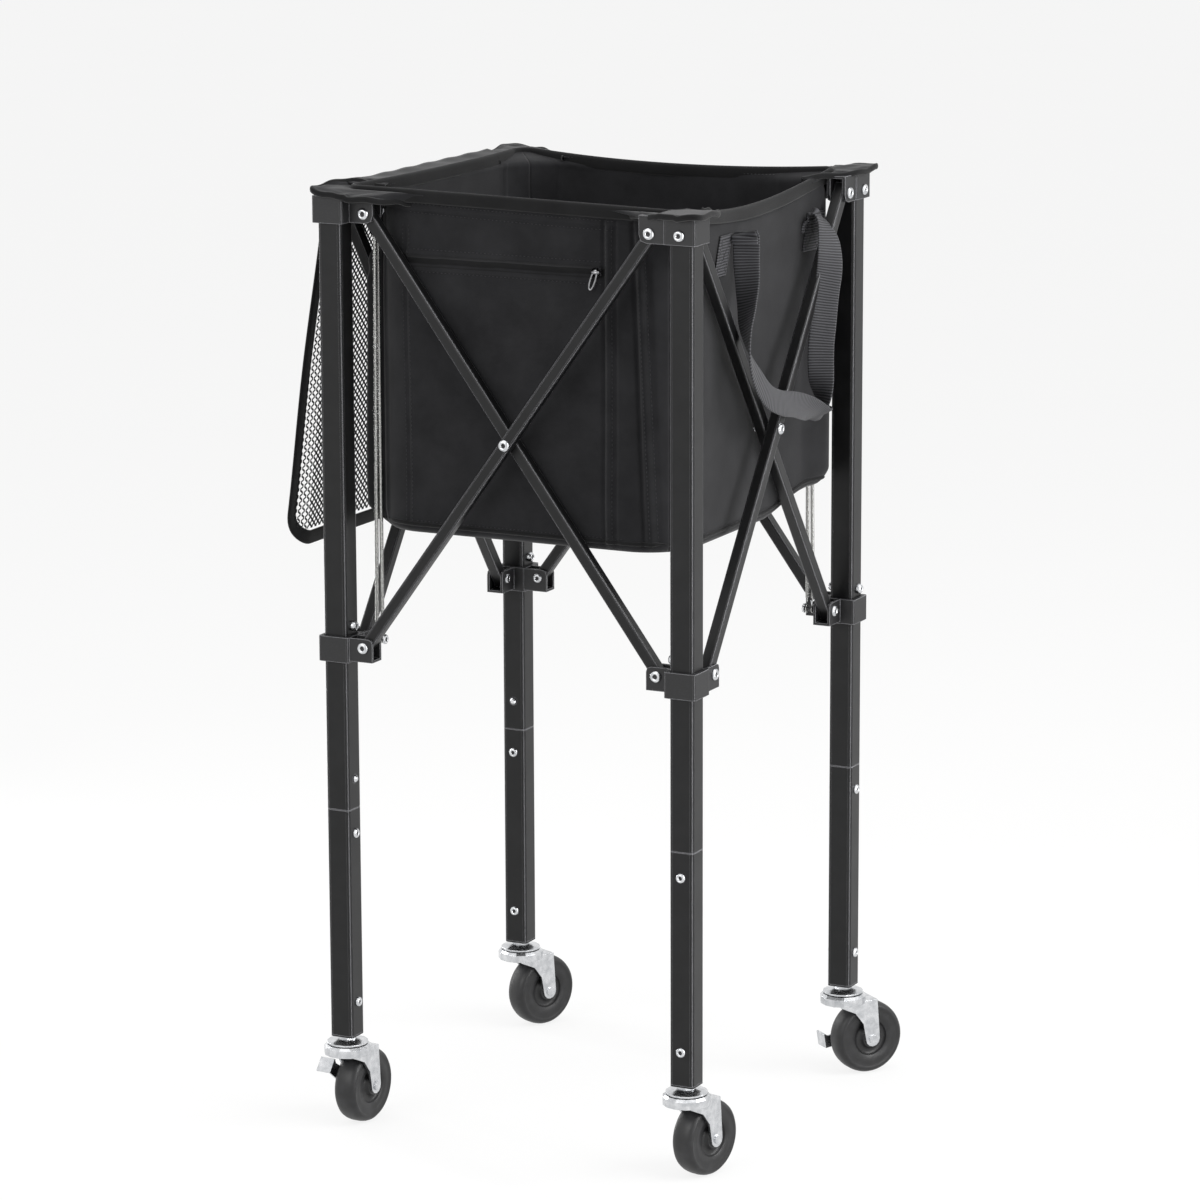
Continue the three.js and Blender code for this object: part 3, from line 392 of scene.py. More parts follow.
# The head of a tubular rivet: a rounded rim about a dimple, as shares of its radius and its height.
HEAD_SHARES = np.array([[0.9, -0.2], [1, 0.05], [1, 0.25], [0.93, 0.6], [0.76, 0.92], [0.62, 1], [0.48, 0.97],
                        [0.4, 0.82], [0.34, 0.52], [0.02, 0.45]])
TOP, LOW, REACH = 914, 493, 31.7  # heights of the pivots, and their distance from a leg's axis
BAR_OUTER, BAR_HALF = 5, 6  # how far in the outer bars lie, and half a bar's side
CROSSING = (TOP + LOW) / 2
FACTORY_HEAD, CLOSED_HEAD, PLATE_HEAD = (5.9, 2.9), (5, 2), (5.6, 2.9)  # radius and rise of each kind of rivet head
LEG_HEAD, STOP_HEAD = (5, 2.9), (5.1, 5.3)
LEG_RIVETS = (303, 131)  # heights on the lower legs
STOP_Z = 511  # just above the sliders
# The sides of each leg on which a stop rivet shows.
STOP_SIDES = {"a": [(1, 0)], "b": [(0, 1)], "c": [(1, 0), (-1, 0)], "d": [(0, 1)]}


def rivets():
    """The bright heads over the model's rivets, one object for each body that carries some."""
    heads = {}

    def add(body, k, centre, direction, size):
        """One head of a radius and rise, at a place in corner k's frame, on the body that carries it."""
        d = quarter(np.array(direction, float), k)
        head = turned_parts(HEAD_SHARES * size, at_corner(np.array(centre, float), k), d)
        heads.setdefault(body, []).append(head)

    for k, corner in enumerate(CORNERS):
        long_pin = corner in "ac"
        leg, slide = "leg_" + corner, "slider_" + corner
        add(leg, k, (REACH, -1.8, TOP), (0, -1, 0), FACTORY_HEAD)
        add(leg, k, (REACH, 30.6 if long_pin else 17.8, TOP), (0, 1, 0), CLOSED_HEAD)
        add(leg, k, (-14.8, REACH, TOP), (-1, 0, 0), FACTORY_HEAD)
        add(leg, k, (4.8, REACH, TOP), (1, 0, 0), CLOSED_HEAD)
        add(leg, k, (-16.5, 0, TOP), (-1, 0, 0), PLATE_HEAD)
        add(slide, k, (REACH, -14, LOW), (0, -1, 0), FACTORY_HEAD)
        add(slide, k, (REACH, 4, LOW), (0, 1, 0), CLOSED_HEAD)
        add(slide, k, (-1, REACH, LOW), (-1, 0, 0), FACTORY_HEAD)
        add(slide, k, (30.6 if long_pin else 17, REACH, LOW), (1, 0, 0), CLOSED_HEAD)
        for z in LEG_RIVETS:
            for x in (-1, 1):
                add(leg, k, (x * LEG, 0, z), (x, 0, 0), LEG_HEAD)
        for x, y in STOP_SIDES[corner]:
            add(leg, k, (x * LEG, y * LEG, STOP_Z), (x, y, 0), STOP_HEAD)
        outer = SIDES[k] + "_outer"
        add(outer, k, (HALF, -BAR_OUTER - BAR_HALF, CROSSING), (0, -1, 0), FACTORY_HEAD)
        add(outer, k, (HALF, 14.3, CROSSING), (0, 1, 0), CLOSED_HEAD)
    for body, parts in heads.items():
        piece = joined("rivets_" + body, parts, ZINC)
        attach(piece, body)


rivets()

# ---------------- wheels

AXLE_Z, WHEEL_R, WHEEL_HALF = 37.5, 37.5, 12.5
HEADINGS = {"a": 86.5, "b": 76.0, "c": 53.0, "d": 66.5}  # the way each caster trails, in degrees from +x
TRAIL = 27  # from the swivel's axis to the axle

# Half a wheel's section, as (share of its radius, share of half its width), from the bore out to the tread.
WHEEL_SHARES = np.array([[0.12, 1.048], [0.25, 1.048], [0.262, 1.0], [0.27, 0.7], [0.36, 0.62], [0.46, 0.62],
                         [0.48, 0.8], [0.5, 0.9], [0.7, 0.92], [0.79, 0.9], [0.82, 0.93], [0.86, 0.98], [0.9, 0.94],
                         [0.955, 0.78], [0.985, 0.56], [1, 0.28], [1, 0]])


def wheels():
    """Each wheel's section turned about its axle: a hub, a recessed web and a rounded tread."""
    profile = WHEEL_SHARES * [WHEEL_R, WHEEL_HALF]
    loop = np.concatenate([profile, profile[-2::-1] * [1, -1]])
    for k, corner in enumerate(CORNERS):
        leg = quarter(np.array([-HALF, -HALF, 0.0]), k)
        a = math.radians(HEADINGS[corner])
        centre = leg + [TRAIL * math.cos(a), TRAIL * math.sin(a), AXLE_Z]
        axle = np.array([-math.sin(a), math.cos(a), 0])
        out = np.cross(axle, [0, 0, 1])
        t = np.arange(72) * TURN / 72
        circle = np.cos(t)[:, None] * out + np.sin(t)[:, None] * np.array([0, 0, 1])
        points = centre + loop[:, None, :1] * circle[None] + loop[:, None, 1:] * axle
        piece = surface("wheel_" + corner, points, RUBBER, wrap_rows=True, wrap_columns=True)
        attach(piece, "wheel_" + corner)
        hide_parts("caster_wheel_" + corner)


wheels()

# ---------------- the bag

BAG = 167.0  # from the middle to a wall
BAG_LOW = 604.0
RADII = (55.0, 55.0, 13.0, 55.0)  # plan radius of the corners a, b, c, d
BULGE, TUCK = 9.0, 15.0  # how far the right wall stands out at corner c, and how far the rear wall stands in there
EASE = 5  # the power by which a straight wall leaves its line near such a corner
RIM = (940.0, 934.0, 937.0, 939.0)  # rim height at the corners
RIM_SAGS = (1.0, 16.0, 6.0, 0.0)  # how far each side's rim hangs below its corners
RIM_TOP = 935  # about the rim's height, for shares of a wall's height
GRIDS = (1.6, 2.4, 2.4, 2.4)  # spacing of each wall's grid; the front has the finest details
FLOOR_THICK = 2.2
LEAVES = (BAG, BAG, BAG - TUCK, BAG)  # from the middle to the wall that leaves each corner, at that corner
ARRIVES = (BAG, BAG, BAG + BULGE, BAG)  # and to the wall that arrives there
BODY_PLAN = (RADII, LEAVES, ARRIVES)
# The rim is pulled out to squarer corners under the flaps.
RIM_PLAN = ((14.0, 16.0, 10.0, 16.0), (177.0, 175.0, 171.0, 175.0), (177.0, 175.0, 178.0, 175.0))
# Where the slack cloth swells out: the place's x and y, its radius, the push in x and y, and its height from and to.
SWELLS = ((-168, -141, 25, -19, -14, 604, 878), (-168, -141, 25, -9, -10, 850, 940),
          (176, 142, 36, 8, 5, 603, 862), (168, 150, 30, 3, 7, 840, 940))


def wall_line(k, step, shape=BODY_PLAN):
    """The plan of wall k, from the middle of its first corner to the middle of its last, with +x along the wall.

    Returns x, y (outwards is -y) and the share along the straight stretch. A corner is a quarter ellipse cut at its
    middle; the straight stretch leaves its line near a corner as a power of the share."""
    after = (k + 1) % 4
    radii, leaves, arrives = shape
    turn0 = np.linspace(math.pi * 1.25, math.pi * 1.5, max(3, int(RADII[k] * 0.79 / step)), endpoint=False)
    turn1 = np.linspace(math.pi * 1.5, math.pi * 1.75, max(3, int(RADII[after] * 0.79 / step)) + 1)[1:]
    share = np.linspace(0, 1, int((2 * BAG - RADII[k] - RADII[after]) / step) + 1)
    r0, r1 = radii[k], radii[after]
    start, end = r0 - arrives[k], leaves[after] - r1
    y = -(BAG + (leaves[k] - BAG) * (1 - share) ** EASE + (arrives[after] - BAG) * share ** EASE)
    x = start + (end - start) * share
    x = np.concatenate([start + r0 * np.cos(turn0), x, end + r1 * np.cos(turn1)])
    y = np.concatenate([r0 - leaves[k] + r0 * np.sin(turn0), y, r1 - arrives[after] + r1 * np.sin(turn1)])
    share = np.concatenate([np.zeros(len(turn0)), share, np.ones(len(turn1))])
    return x, y, share


def rim_height(k, share):
    """A straight line between the corners less a parabola."""
    return RIM[k] + (RIM[(k + 1) % 4] - RIM[k]) * share - RIM_SAGS[k] * 4 * share * (1 - share)


def folds(k, s, v):
    """How far wall k's cloth stands out, in millimetres, at s along it and the share v of its height.

    Soft swellings and hollows: slow sines that die out at the rim, and pulls that run down from the corners."""
    far = np.abs(s) / BAG
    slack = smoothstep((1 - v) / 0.35) * smoothstep(v / 0.12)  # none at the rim and at the foot
    wave = (1.3 * np.sin(s / 61 + 0.9 * k + 1.1 * v) * np.cos(v * 4.1 + k)
            + 0.7 * np.sin(s / 23 - 2.2 * v + 1.7 * k) * smoothstep(far)
            + 0.5 * np.sin(s / 37 + 6 * v + k))
    return slack * wave


ZIP_Z = 870.0
PIPING = 9  # the rolled seam's height above the bag's bottom


def front_details(s, z):
    """The zipped pocket's panel on the front wall: seams pressed in, the zip's lips and the double seam at right."""
    out = -1.2 * bump(z, 927 - 0.02 * s, 2.2) - 0.9 * bump(z, 915 - 0.02 * s, 2.2)
    out += -1.3 * bump(s, -119.5, 2.4) * smoothstep((905 - z) / 6)
    out += 2.4 * bump(s, 96, 5) * smoothstep((918 - z) / 6) - 2.2 * bump(s, 90.5, 2.6) - 1.6 * bump(s, 103, 2.6)
    drift = 0.035 * (900 - z)  # the seam at right leans outwards as it goes down
    out += 3.2 * bump(s, 127 + drift, 4.5) * smoothstep((912 - z) / 8) - 2.8 * bump(s, 121 + drift, 3)
    out += -3.0 * bump(s, 134 + drift, 4)
    inside = smoothstep((s + 122) / 5) * smoothstep((93 - s) / 5)
    lips = 2.6 * bump(z, ZIP_Z + 6.5, 5) + 1.8 * bump(z, ZIP_Z - 6.5, 4.5) - 2.6 * bump(z, ZIP_Z, 3.4)
    out += inside * lips
    out += -0.9 * bump(z, BAG_LOW + PIPING, 3)
    return out


def right_details(s, z):
    """Seams pressed in: under the rim, down both sides, and above the bottom."""
    out = -1.0 * bump(z, 921, 2.4) - 1.2 * bump(s, -131, 3) - 0.9 * bump(z, BAG_LOW + PIPING, 3)
    out += -1.0 * bump(s, 139, 3) * smoothstep((900 - z) / 30)
    return out


def plain_details(s, z):
    """The same seams on the rear and the left wall."""
    return -1.0 * bump(z, 924, 2.4) - 0.9 * bump(z, BAG_LOW + PIPING, 3) - 1.0 * bump(np.abs(s), 124, 3)


DETAILS = (front_details, right_details, plain_details, plain_details)
BOTTOM_ROUND = 9.0


def lift(x, y):
    """How far the bag's bottom stands higher towards the corner between the right and the rear wall."""
    return 18 * smoothstep((x + y - 190) / 110)


def cloth_out(k, s, z, v):
    """How far wall k's cloth stands in front of its plan, in millimetres, down to nothing at the corners' seams."""
    after = (k + 1) % 4
    first = RADII[k] * (1 - math.sqrt(0.5)) - ARRIVES[k]
    last = LEAVES[after] - RADII[after] * (1 - math.sqrt(0.5))
    return (folds(k, s, v) + DETAILS[k](s, z)) * np.clip(np.minimum(s - first, last - s) / 25, 0, 1)


def plan(k, step=2.0, shape=BODY_PLAN):
    """Wall k's plan with its share and the direction that looks outwards at each of its points."""
    x, y, share = wall_line(k, step, shape)
    tangent = np.stack([np.gradient(x), np.gradient(y)], -1)
    tangent /= np.linalg.norm(tangent, axis=1, keepdims=True)
    return x, y, share, np.stack([tangent[:, 1], -tangent[:, 0]], -1)


def lifted(points, k):
    """Wall k's points moved to their side, with the slack swellings and the bottom raised where `lift` says so."""
    points = quarter(points, k)
    for x, y, reach, push_x, push_y, low, high in SWELLS:
        weight = smoothstep(1 - np.hypot(points[..., 0] - x, points[..., 1] - y) / reach)
        weight = weight * smoothstep((points[..., 2] - low) / 22) * smoothstep((high - points[..., 2]) / 34)
        points[..., 0] += push_x * weight
        points[..., 1] += push_y * weight
    v = np.clip((points[..., 2] - BAG_LOW) / (RIM_TOP - BAG_LOW), 0, 1)
    points[..., 2] += lift(points[..., 0], points[..., 1]) * (1 - v) ** 2
    return points


def wall_points(k, step):
    """Wall k over a grid: rows go up from the bottom's rounded edge to the rim, columns run along the wall."""
    x, y, share, outward = plan(k, step)
    rim = rim_height(k, share)
    climb = np.linspace(0, 1, int((RIM_TOP - BAG_LOW - BOTTOM_ROUND) / step) + 1)
    z = BAG_LOW + BOTTOM_ROUND + climb[:, None] * (rim[None] - BAG_LOW - BOTTOM_ROUND)
    v = climb[:, None] + 0 * z
    out = cloth_out(k, x[None] + 0 * z, z, v)
    points = np.stack([x + outward[:, 0] * out, y + outward[:, 1] * out, z], -1)
    rim_x, rim_y, _, _ = plan(k, step, RIM_PLAN)
    flare = smoothstep((z - rim[None] + 15) / 12)[..., None]
    points[..., :2] = points[..., :2] * (1 - flare) + np.stack([rim_x, rim_y], -1)[None] * flare
    turn = np.linspace(0, math.pi / 2, 5)[:-1]
    edge_in = BOTTOM_ROUND * (1 - np.sin(turn))
    edge_z = BAG_LOW + BOTTOM_ROUND * (1 - np.cos(turn))
    edge = np.stack([x[None] - outward[:, 0] * edge_in[:, None], y[None] - outward[:, 1] * edge_in[:, None],
                     edge_z[:, None] + 0 * x[None]], -1)
    return lifted(np.concatenate([edge, points]), k)


def on_wall(k, s, z, out=0.0):
    """Points in front of wall k's cloth, at s along the wall and height z, and the directions that look outwards."""
    x, y, share, outward = plan(k)
    s, z = np.broadcast_arrays(np.asarray(s, float), np.asarray(z, float))
    rim = np.interp(s, x, rim_height(k, share))
    v = np.clip((z - BAG_LOW - BOTTOM_ROUND) / (rim - BAG_LOW - BOTTOM_ROUND), 0, 1)
    ox, oy = np.interp(s, x, outward[:, 0]), np.interp(s, x, outward[:, 1])
    d = cloth_out(k, s, z, v) + out
    points = np.stack([s + ox * d, np.interp(s, x, y) + oy * d, z], -1)
    return lifted(points, k), quarter(np.stack([ox, oy, 0 * ox], -1), k)


def cloth_uv(points):
    """Metres along the rows and up the columns of a grid."""
    along = np.linalg.norm(np.diff(points, axis=1, prepend=points[:, :1]), axis=2).cumsum(1)
    up = np.linalg.norm(np.diff(points, axis=0, prepend=points[:1]), axis=2).cumsum(0)
    middle = along[:, along.shape[1] // 2][:, None]
    return np.stack([along - middle, up], -1) * MM


WALL_BODY = ("leg_a", "leg_b", "leg_d", "leg_a")


def gather(piece):
    """Gives a piece its own copy of its mesh."""
    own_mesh(piece)


def ride_wall(piece, k):
    """Puts a piece on wall k: it moves with the wall's leg, with a mesh of its own."""
    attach(piece, WALL_BODY[k])
    gather(piece)


def walls():
    """The four walls, each one sheet from corner to corner with the cloth's thickness inwards."""
    for k, side in enumerate(SIDES):
        points = wall_points(k, GRIDS[k])
        piece = surface("bag_" + side, points, CLOTH, cloth_uv(points))
        thicken(piece, 1.4, offset=-1)
        ride_wall(piece, k)
        if k == 0:
            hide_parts("bag")


walls()

FOLDED = 119.6  # from the middle to the line that stays put when the frame folds
SPLIT = 83.55  # where the three pieces of a quarter of the floor's middle meet
SLANT = 0.432  # the slope of the line between the centre piece and each of the outer two


def floor_plate(name, outline, k):
    """A flat plate on the bag's bottom over an outline drawn at side or corner a, with its plan as its map."""
    outline = quarter(np.c_[outline, np.zeros(len(outline))], k)[:, :2]
    n = len(outline)
    points = np.concatenate([np.c_[outline, np.full(n, BAG_LOW)], np.c_[outline, np.full(n, BAG_LOW + FLOOR_THICK)]])
    points[:, 2] += lift(points[:, 0], points[:, 1])
    faces = [list(range(n))[::-1], list(range(n, 2 * n))]
    faces += [[i, (i + 1) % n, (i + 1) % n + n, i + n] for i in range(n)]
    return mesh_object(name, points, faces, points[:, :2] * MM, CLOTH, smooth=False)


def bag_floor():
    """The floor: a strip along each wall that moves with that wall's leg, and three pieces in each quarter of the
    middle that move with that corner's leg."""
    strips, middle = [], []
    for k, side in enumerate(SIDES):
        x, y, _, outward = plan(k, 4.0)
        edge = np.stack([x, y], -1) - outward * BOTTOM_ROUND
        strips.append(floor_plate("bag_floor_" + side, [*edge, (FOLDED, -FOLDED), (-FOLDED, -FOLDED)], k))
        ride_wall(strips[k], k)
    f, e, m = FOLDED, SPLIT, FOLDED - SLANT * BAG
    shapes = {
        "near": ([(-f, -f), (0, -f), (0, -m), (-e, -e)], (1, SLANT, 0)),
        "far": ([(-f, -f), (-e, -e), (-m, 0), (-f, 0)], (SLANT, 1, 0)),
        "centre": ([(-e, -e), (0, -m), (0, 0), (-m, 0)], (1, 1, 0)),
    }
    for k, corner in enumerate(CORNERS):
        for name, (outline, axis) in shapes.items():
            piece = floor_plate(f"bag_floor_{corner}_{name}", outline, k)
            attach(piece, "leg_" + corner)
            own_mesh(piece)
            middle.append(piece)


bag_floor()


def wall_piece(name, k, parts, material, uv=None):
    """A piece joined from parts that moves with wall k."""
    ride_wall(joined(name, parts, material, uv=uv), k)


def rim_bindings():
    """Tape folded over the rim: a rounded top, and a band that reaches down both faces."""
    section = np.array([(1.1, -11), (2.0, -9), (2.2, -4), (2.1, -1), (1.3, 1.1), (-0.6, 2.0), (-2.5, 1.1),
                        (-3.3, -1), (-3.4, -4), (-3.3, -9), (-2.5, -11)])
    for k, side in enumerate(SIDES):
        x, y, share, outward = plan(k, 3.0, RIM_PLAN)
        z = rim_height(k, share) - 2.0
        wave = 0.5 * np.sin(x / 31 + k) + 0.35 * np.sin(x / 13 + 2 * k)
        bulge = wave[:, None] * smoothstep((-section[None, :, 1] - 1) / 10)
        a = section[None, :, 0] + bulge
        points = np.stack([x[:, None] + outward[:, :1] * a, y[:, None] + outward[:, 1:] * a,
                           z[:, None] + section[None, :, 1]], -1)
        along = np.concatenate([[0], np.hypot(np.diff(x), np.diff(y)).cumsum()])
        around = np.concatenate([[0], np.hypot(*np.diff(section, axis=0).T).cumsum()])
        piece = surface("rim_binding_" + side, quarter(points, k), BINDING, metre_map(along[:, None], around[None]),
                        wrap_columns=True)
        ride_wall(piece, k)


rim_bindings()


def bottom_piping():
    """A rolled seam a little above the bottom edge of each wall."""
    for k, side in enumerate(SIDES):
        x, _, _, _ = plan(k, 3.0)
        spots, _ = on_wall(k, x, BAG_LOW + PIPING + 0.5, 0.5)
        ends = np.clip(np.minimum(x - x[0], x[-1] - x) / 10, 0.25, 1)
        parts = [tube_parts(swept(spots, ring(1.5, 8, 2.1), scale=ends))]
        wall_piece("bag_piping_" + side, k, parts, BINDING,
                   uv=metre_map(way_along(spots)[:, None], np.arange(8)[None] * 1.4).reshape(-1, 2))


def stitch_parts(centres, along, normal, length=3.0, half=0.32):
    """Stitches as small double-ended cones: their middles, and unit vectors along them and away from the cloth."""
    across = np.cross(along, normal)
    corners = np.stack([centres - along * length / 2, centres + along * length / 2, centres + across * half,
                        centres - across * half, centres + normal * half, centres - normal * half], 1)
    faces = np.array([(0, 2, 4), (0, 4, 3), (0, 3, 5), (0, 5, 2), (1, 4, 2), (1, 3, 4), (1, 5, 3), (1, 2, 5)])
    index = (np.arange(len(centres)) * 6)[:, None, None] + faces[None]
    return corners.reshape(-1, 3), index.reshape(-1, 3).tolist()


def seam(k, path, pitch=4.2, length=3.0, half=0.32):
    """Stitches on wall k along a line of (s, z) points."""
    path = np.asarray(path, float)
    far = np.concatenate([[0], np.hypot(*np.diff(path, axis=0).T).cumsum()])
    t = np.arange(pitch / 2, far[-1], pitch)
    s, z = np.interp(t, far, path[:, 0]), np.interp(t, far, path[:, 1])
    s1, z1 = np.interp(t + 0.5, far, path[:, 0]), np.interp(t + 0.5, far, path[:, 1])
    here, normal = on_wall(k, s, z, 0.22)
    ahead, _ = on_wall(k, s1, z1, 0.22)
    along = ahead - here
    along /= np.maximum(np.linalg.norm(along, axis=1, keepdims=True), 1e-6)
    return stitch_parts(here, along, normal, length, half)


def seams():
    """The lines of stitching on the four walls, one object for each wall."""
    def rim_line(k, drop, s0=-118, s1=118):
        """A line that follows wall k's rim, `drop` below it."""
        x, _, share, _ = plan(k)
        s = np.linspace(s0, s1, 60)
        return np.stack([s, np.interp(s, x, rim_height(k, share)) - drop], -1)

    low = BAG_LOW + PIPING + 4
    lines = {
        0: [rim_line(0, 7), rim_line(0, 24, -116, 104), rim_line(0, 15.5, -116, 104), [(-123, 905), (-123, low)],
            [(-116, 905), (-116, low)], [(93.5, 915), (93.5, low)], [(99.5, 915), (99.5, low)],
            [(124, 912), (136, low)], [(131, 912), (143, low)], [(-112, 881), (88, 880)], [(-112, 859.5), (88, 858.5)],
            [(-112, low), (112, low)]],
        1: [rim_line(1, 7), rim_line(1, 15.5), [(-128, 905), (-128, low)], [(-134, 905), (-134, low)],
            [(-112, low), (120, low)]],
        2: [rim_line(2, 7), rim_line(2, 15.5), [(-120, low), (112, low)]],
        3: [rim_line(3, 7), rim_line(3, 15.5), [(-112, low), (112, low)]],
    }
    for k, paths in lines.items():
        wall_piece("bag_stitches_" + SIDES[k], k, [seam(k, path) for path in paths], THREAD)


seams()
bottom_piping()

# How far each flap runs back along the wall that arrives at its corner, and on along the one that leaves.
FLAP_REACH = {"a": (72, 72), "b": (72, 72), "c": (46, 72), "d": (72, 72)}
CLEAR = 933.3  # the lowest height that clears a top bracket
# The outer edge of a flap over a top bracket, in the corner's own frame, from the wall that arrives to the one
# that leaves, with the height of each place.
FLAP_EDGES = {
    "a": [(22, 58, 934), (7, 42, 940), (-6, 24, 942.5), (-13, 2, 940), (-16, -17, 938), (2, -20, 935),
          (24, -19, 932), (44, -8, 930), (62, 8, 928), (72, 19, 926)],
    "b": [(20, 72, 928), (4, 52, 928.5), (-14, 32, 931), (-21, 8, 932), (-22, -20, 934.5), (4, -22, 934),
          (30, -19, 932.5), (48, -6, 929.5), (64, 8, 929), (74, 19, 928)],
    "c": [(20, 68, 932), (2, 46, 933), (-17, 22, 934), (-22, 0, 935.5), (-21, -20, 937), (2, -20, 935),
          (22, -17, 932), (34, -6, 930), (42, 8, 930), (46, 17, 929)],
    "d": [(20, 66, 933), (0, 46, 933), (-17, 24, 934.5), (-21, 2, 935.5), (-21, -19, 937), (0, -20, 935),
          (24, -18, 933), (44, -7, 932), (60, 8, 931), (70, 19, 930)],
}


def spline(points, count):
    """A smooth curve through points, as `count` places along it: Catmull-Rom, worked out as whole arrays."""
    p = np.asarray(points, float)
    p = np.concatenate([2 * p[:1] - p[1:2], p, 2 * p[-1:] - p[-2:-1]])
    t = np.linspace(0, len(p) - 3, count)
    i = np.minimum(t.astype(int), len(p) - 4)
    f = (t - i)[:, None]
    a, b, c, d = p[i], p[i + 1], p[i + 2], p[i + 3]
    return 0.5 * (2 * b + (c - a) * f + (2 * a - 5 * b + 4 * c - d) * f ** 2 + (3 * b - a - 3 * c + d) * f ** 3)


def corner_flaps():
    """A flap of cloth over each top bracket, from the rim's corner out past the bracket, hemmed and creased."""
    for k, corner in enumerate(CORNERS):
        outer = at_corner(spline(FLAP_EDGES[corner], 72), k)
        back, onward = FLAP_REACH[corner]
        runs = []
        for side, low, high in (((k + 3) % 4, BAG - back, math.inf), (k, -math.inf, onward - BAG)):
            x, y, share, outward = plan(side, shape=RIM_PLAN)
            p = np.stack([x + outward[:, 0] * 2.0, y + outward[:, 1] * 2.0, rim_height(side, share) - 4.5], -1)
            runs.append(quarter(p[(x > low) & (x < high)], side))
        inner = np.concatenate(runs)
        far = way_along(inner)
        t = np.linspace(0, far[-1], len(outer))
        inner = np.stack([np.interp(t, far, inner[:, i]) for i in range(3)], -1)
        w = np.linspace(0, 1, 15)[:, None, None]
        u = np.linspace(0, 1, len(outer))[None, :, None]
        points = inner[None] * (1 - w) + outer[None] * w
        crease = (1.5 * np.sin(u * 17 + 3.1 * k) * np.sin(w * 3.1) + 0.8 * np.sin(u * 41 - 4 * w + k) * w
                  + 0.5 * np.sin(u * 67 + 9 * w + 2 * k) * w * (1 - w))
        sink = 2.2 * smoothstep((w - 0.72) / 0.1) * smoothstep((0.98 - w) / 0.1)
        points[..., 2:] += crease - 0.35 * sink
        leg = at_corner(np.zeros(3), k)
        over = np.maximum(np.abs(points[..., 0] - leg[0]), np.abs(points[..., 1] - leg[1])) < 22
        points[..., 2] = np.where(over, np.maximum(points[..., 2], CLEAR), points[..., 2])
        piece = surface("flap_" + corner, points, CLOTH, cloth_uv(points))
        thicken(piece, 1.3)
        hem = swept(points[-1] - [0, 0, 1.8], ring(1.4, 8, 3.0), up=(0, 0, 1))
        edge = surface("flap_hem_" + corner, hem, BINDING,
                       metre_map(way_along(points[-1])[:, None], np.arange(8)[None] * 1.4), wrap_columns=True)
        for made in (piece, edge):
            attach(made, "leg_" + corner)


corner_flaps()

# ---------------- the lid and the strip that carries it

HINGE = np.array([-203.3, 0, 935.6])
LID_LONG, LID_WIDE = 362.0, 336.0
LID_ROUND, BIND_HALF = 34.0, 7.0  # radius of its lower corners, and half the width of its bound edge
LEAN = math.radians(7.3)  # how far it hangs off plumb
LID_DOWN = np.array([-math.sin(LEAN), 0, -math.cos(LEAN)])
LID_OUT = np.array([-math.cos(LEAN), 0, math.sin(LEAN)])


def lid_points(u, w, out=0.0):
    """Places on the lid: u across it along Y, w down from its hinge, `out` in front of it.

    It bellies out a little, and its front edge curls away from the bag, most of all low down."""
    u, w, out = np.broadcast_arrays(*(np.asarray(a, float) for a in (u, w, out)))
    belly = 3.5 * np.sin(math.pi * np.clip(w / LID_LONG, 0, 1)) * np.cos(math.pi * u / LID_WIDE / 1.1)
    wave = 0.9 * np.sin(w / 43 + u / 60) * np.abs(u) / 168
    curl = 12 * smoothstep((-u - 138) / 30) * (0.3 + 0.7 * w / LID_LONG)
    d = (out + belly + wave + curl)[..., None]
    return HINGE + u[..., None] * np.array([0, 1, 0]) + w[..., None] * LID_DOWN + d * LID_OUT


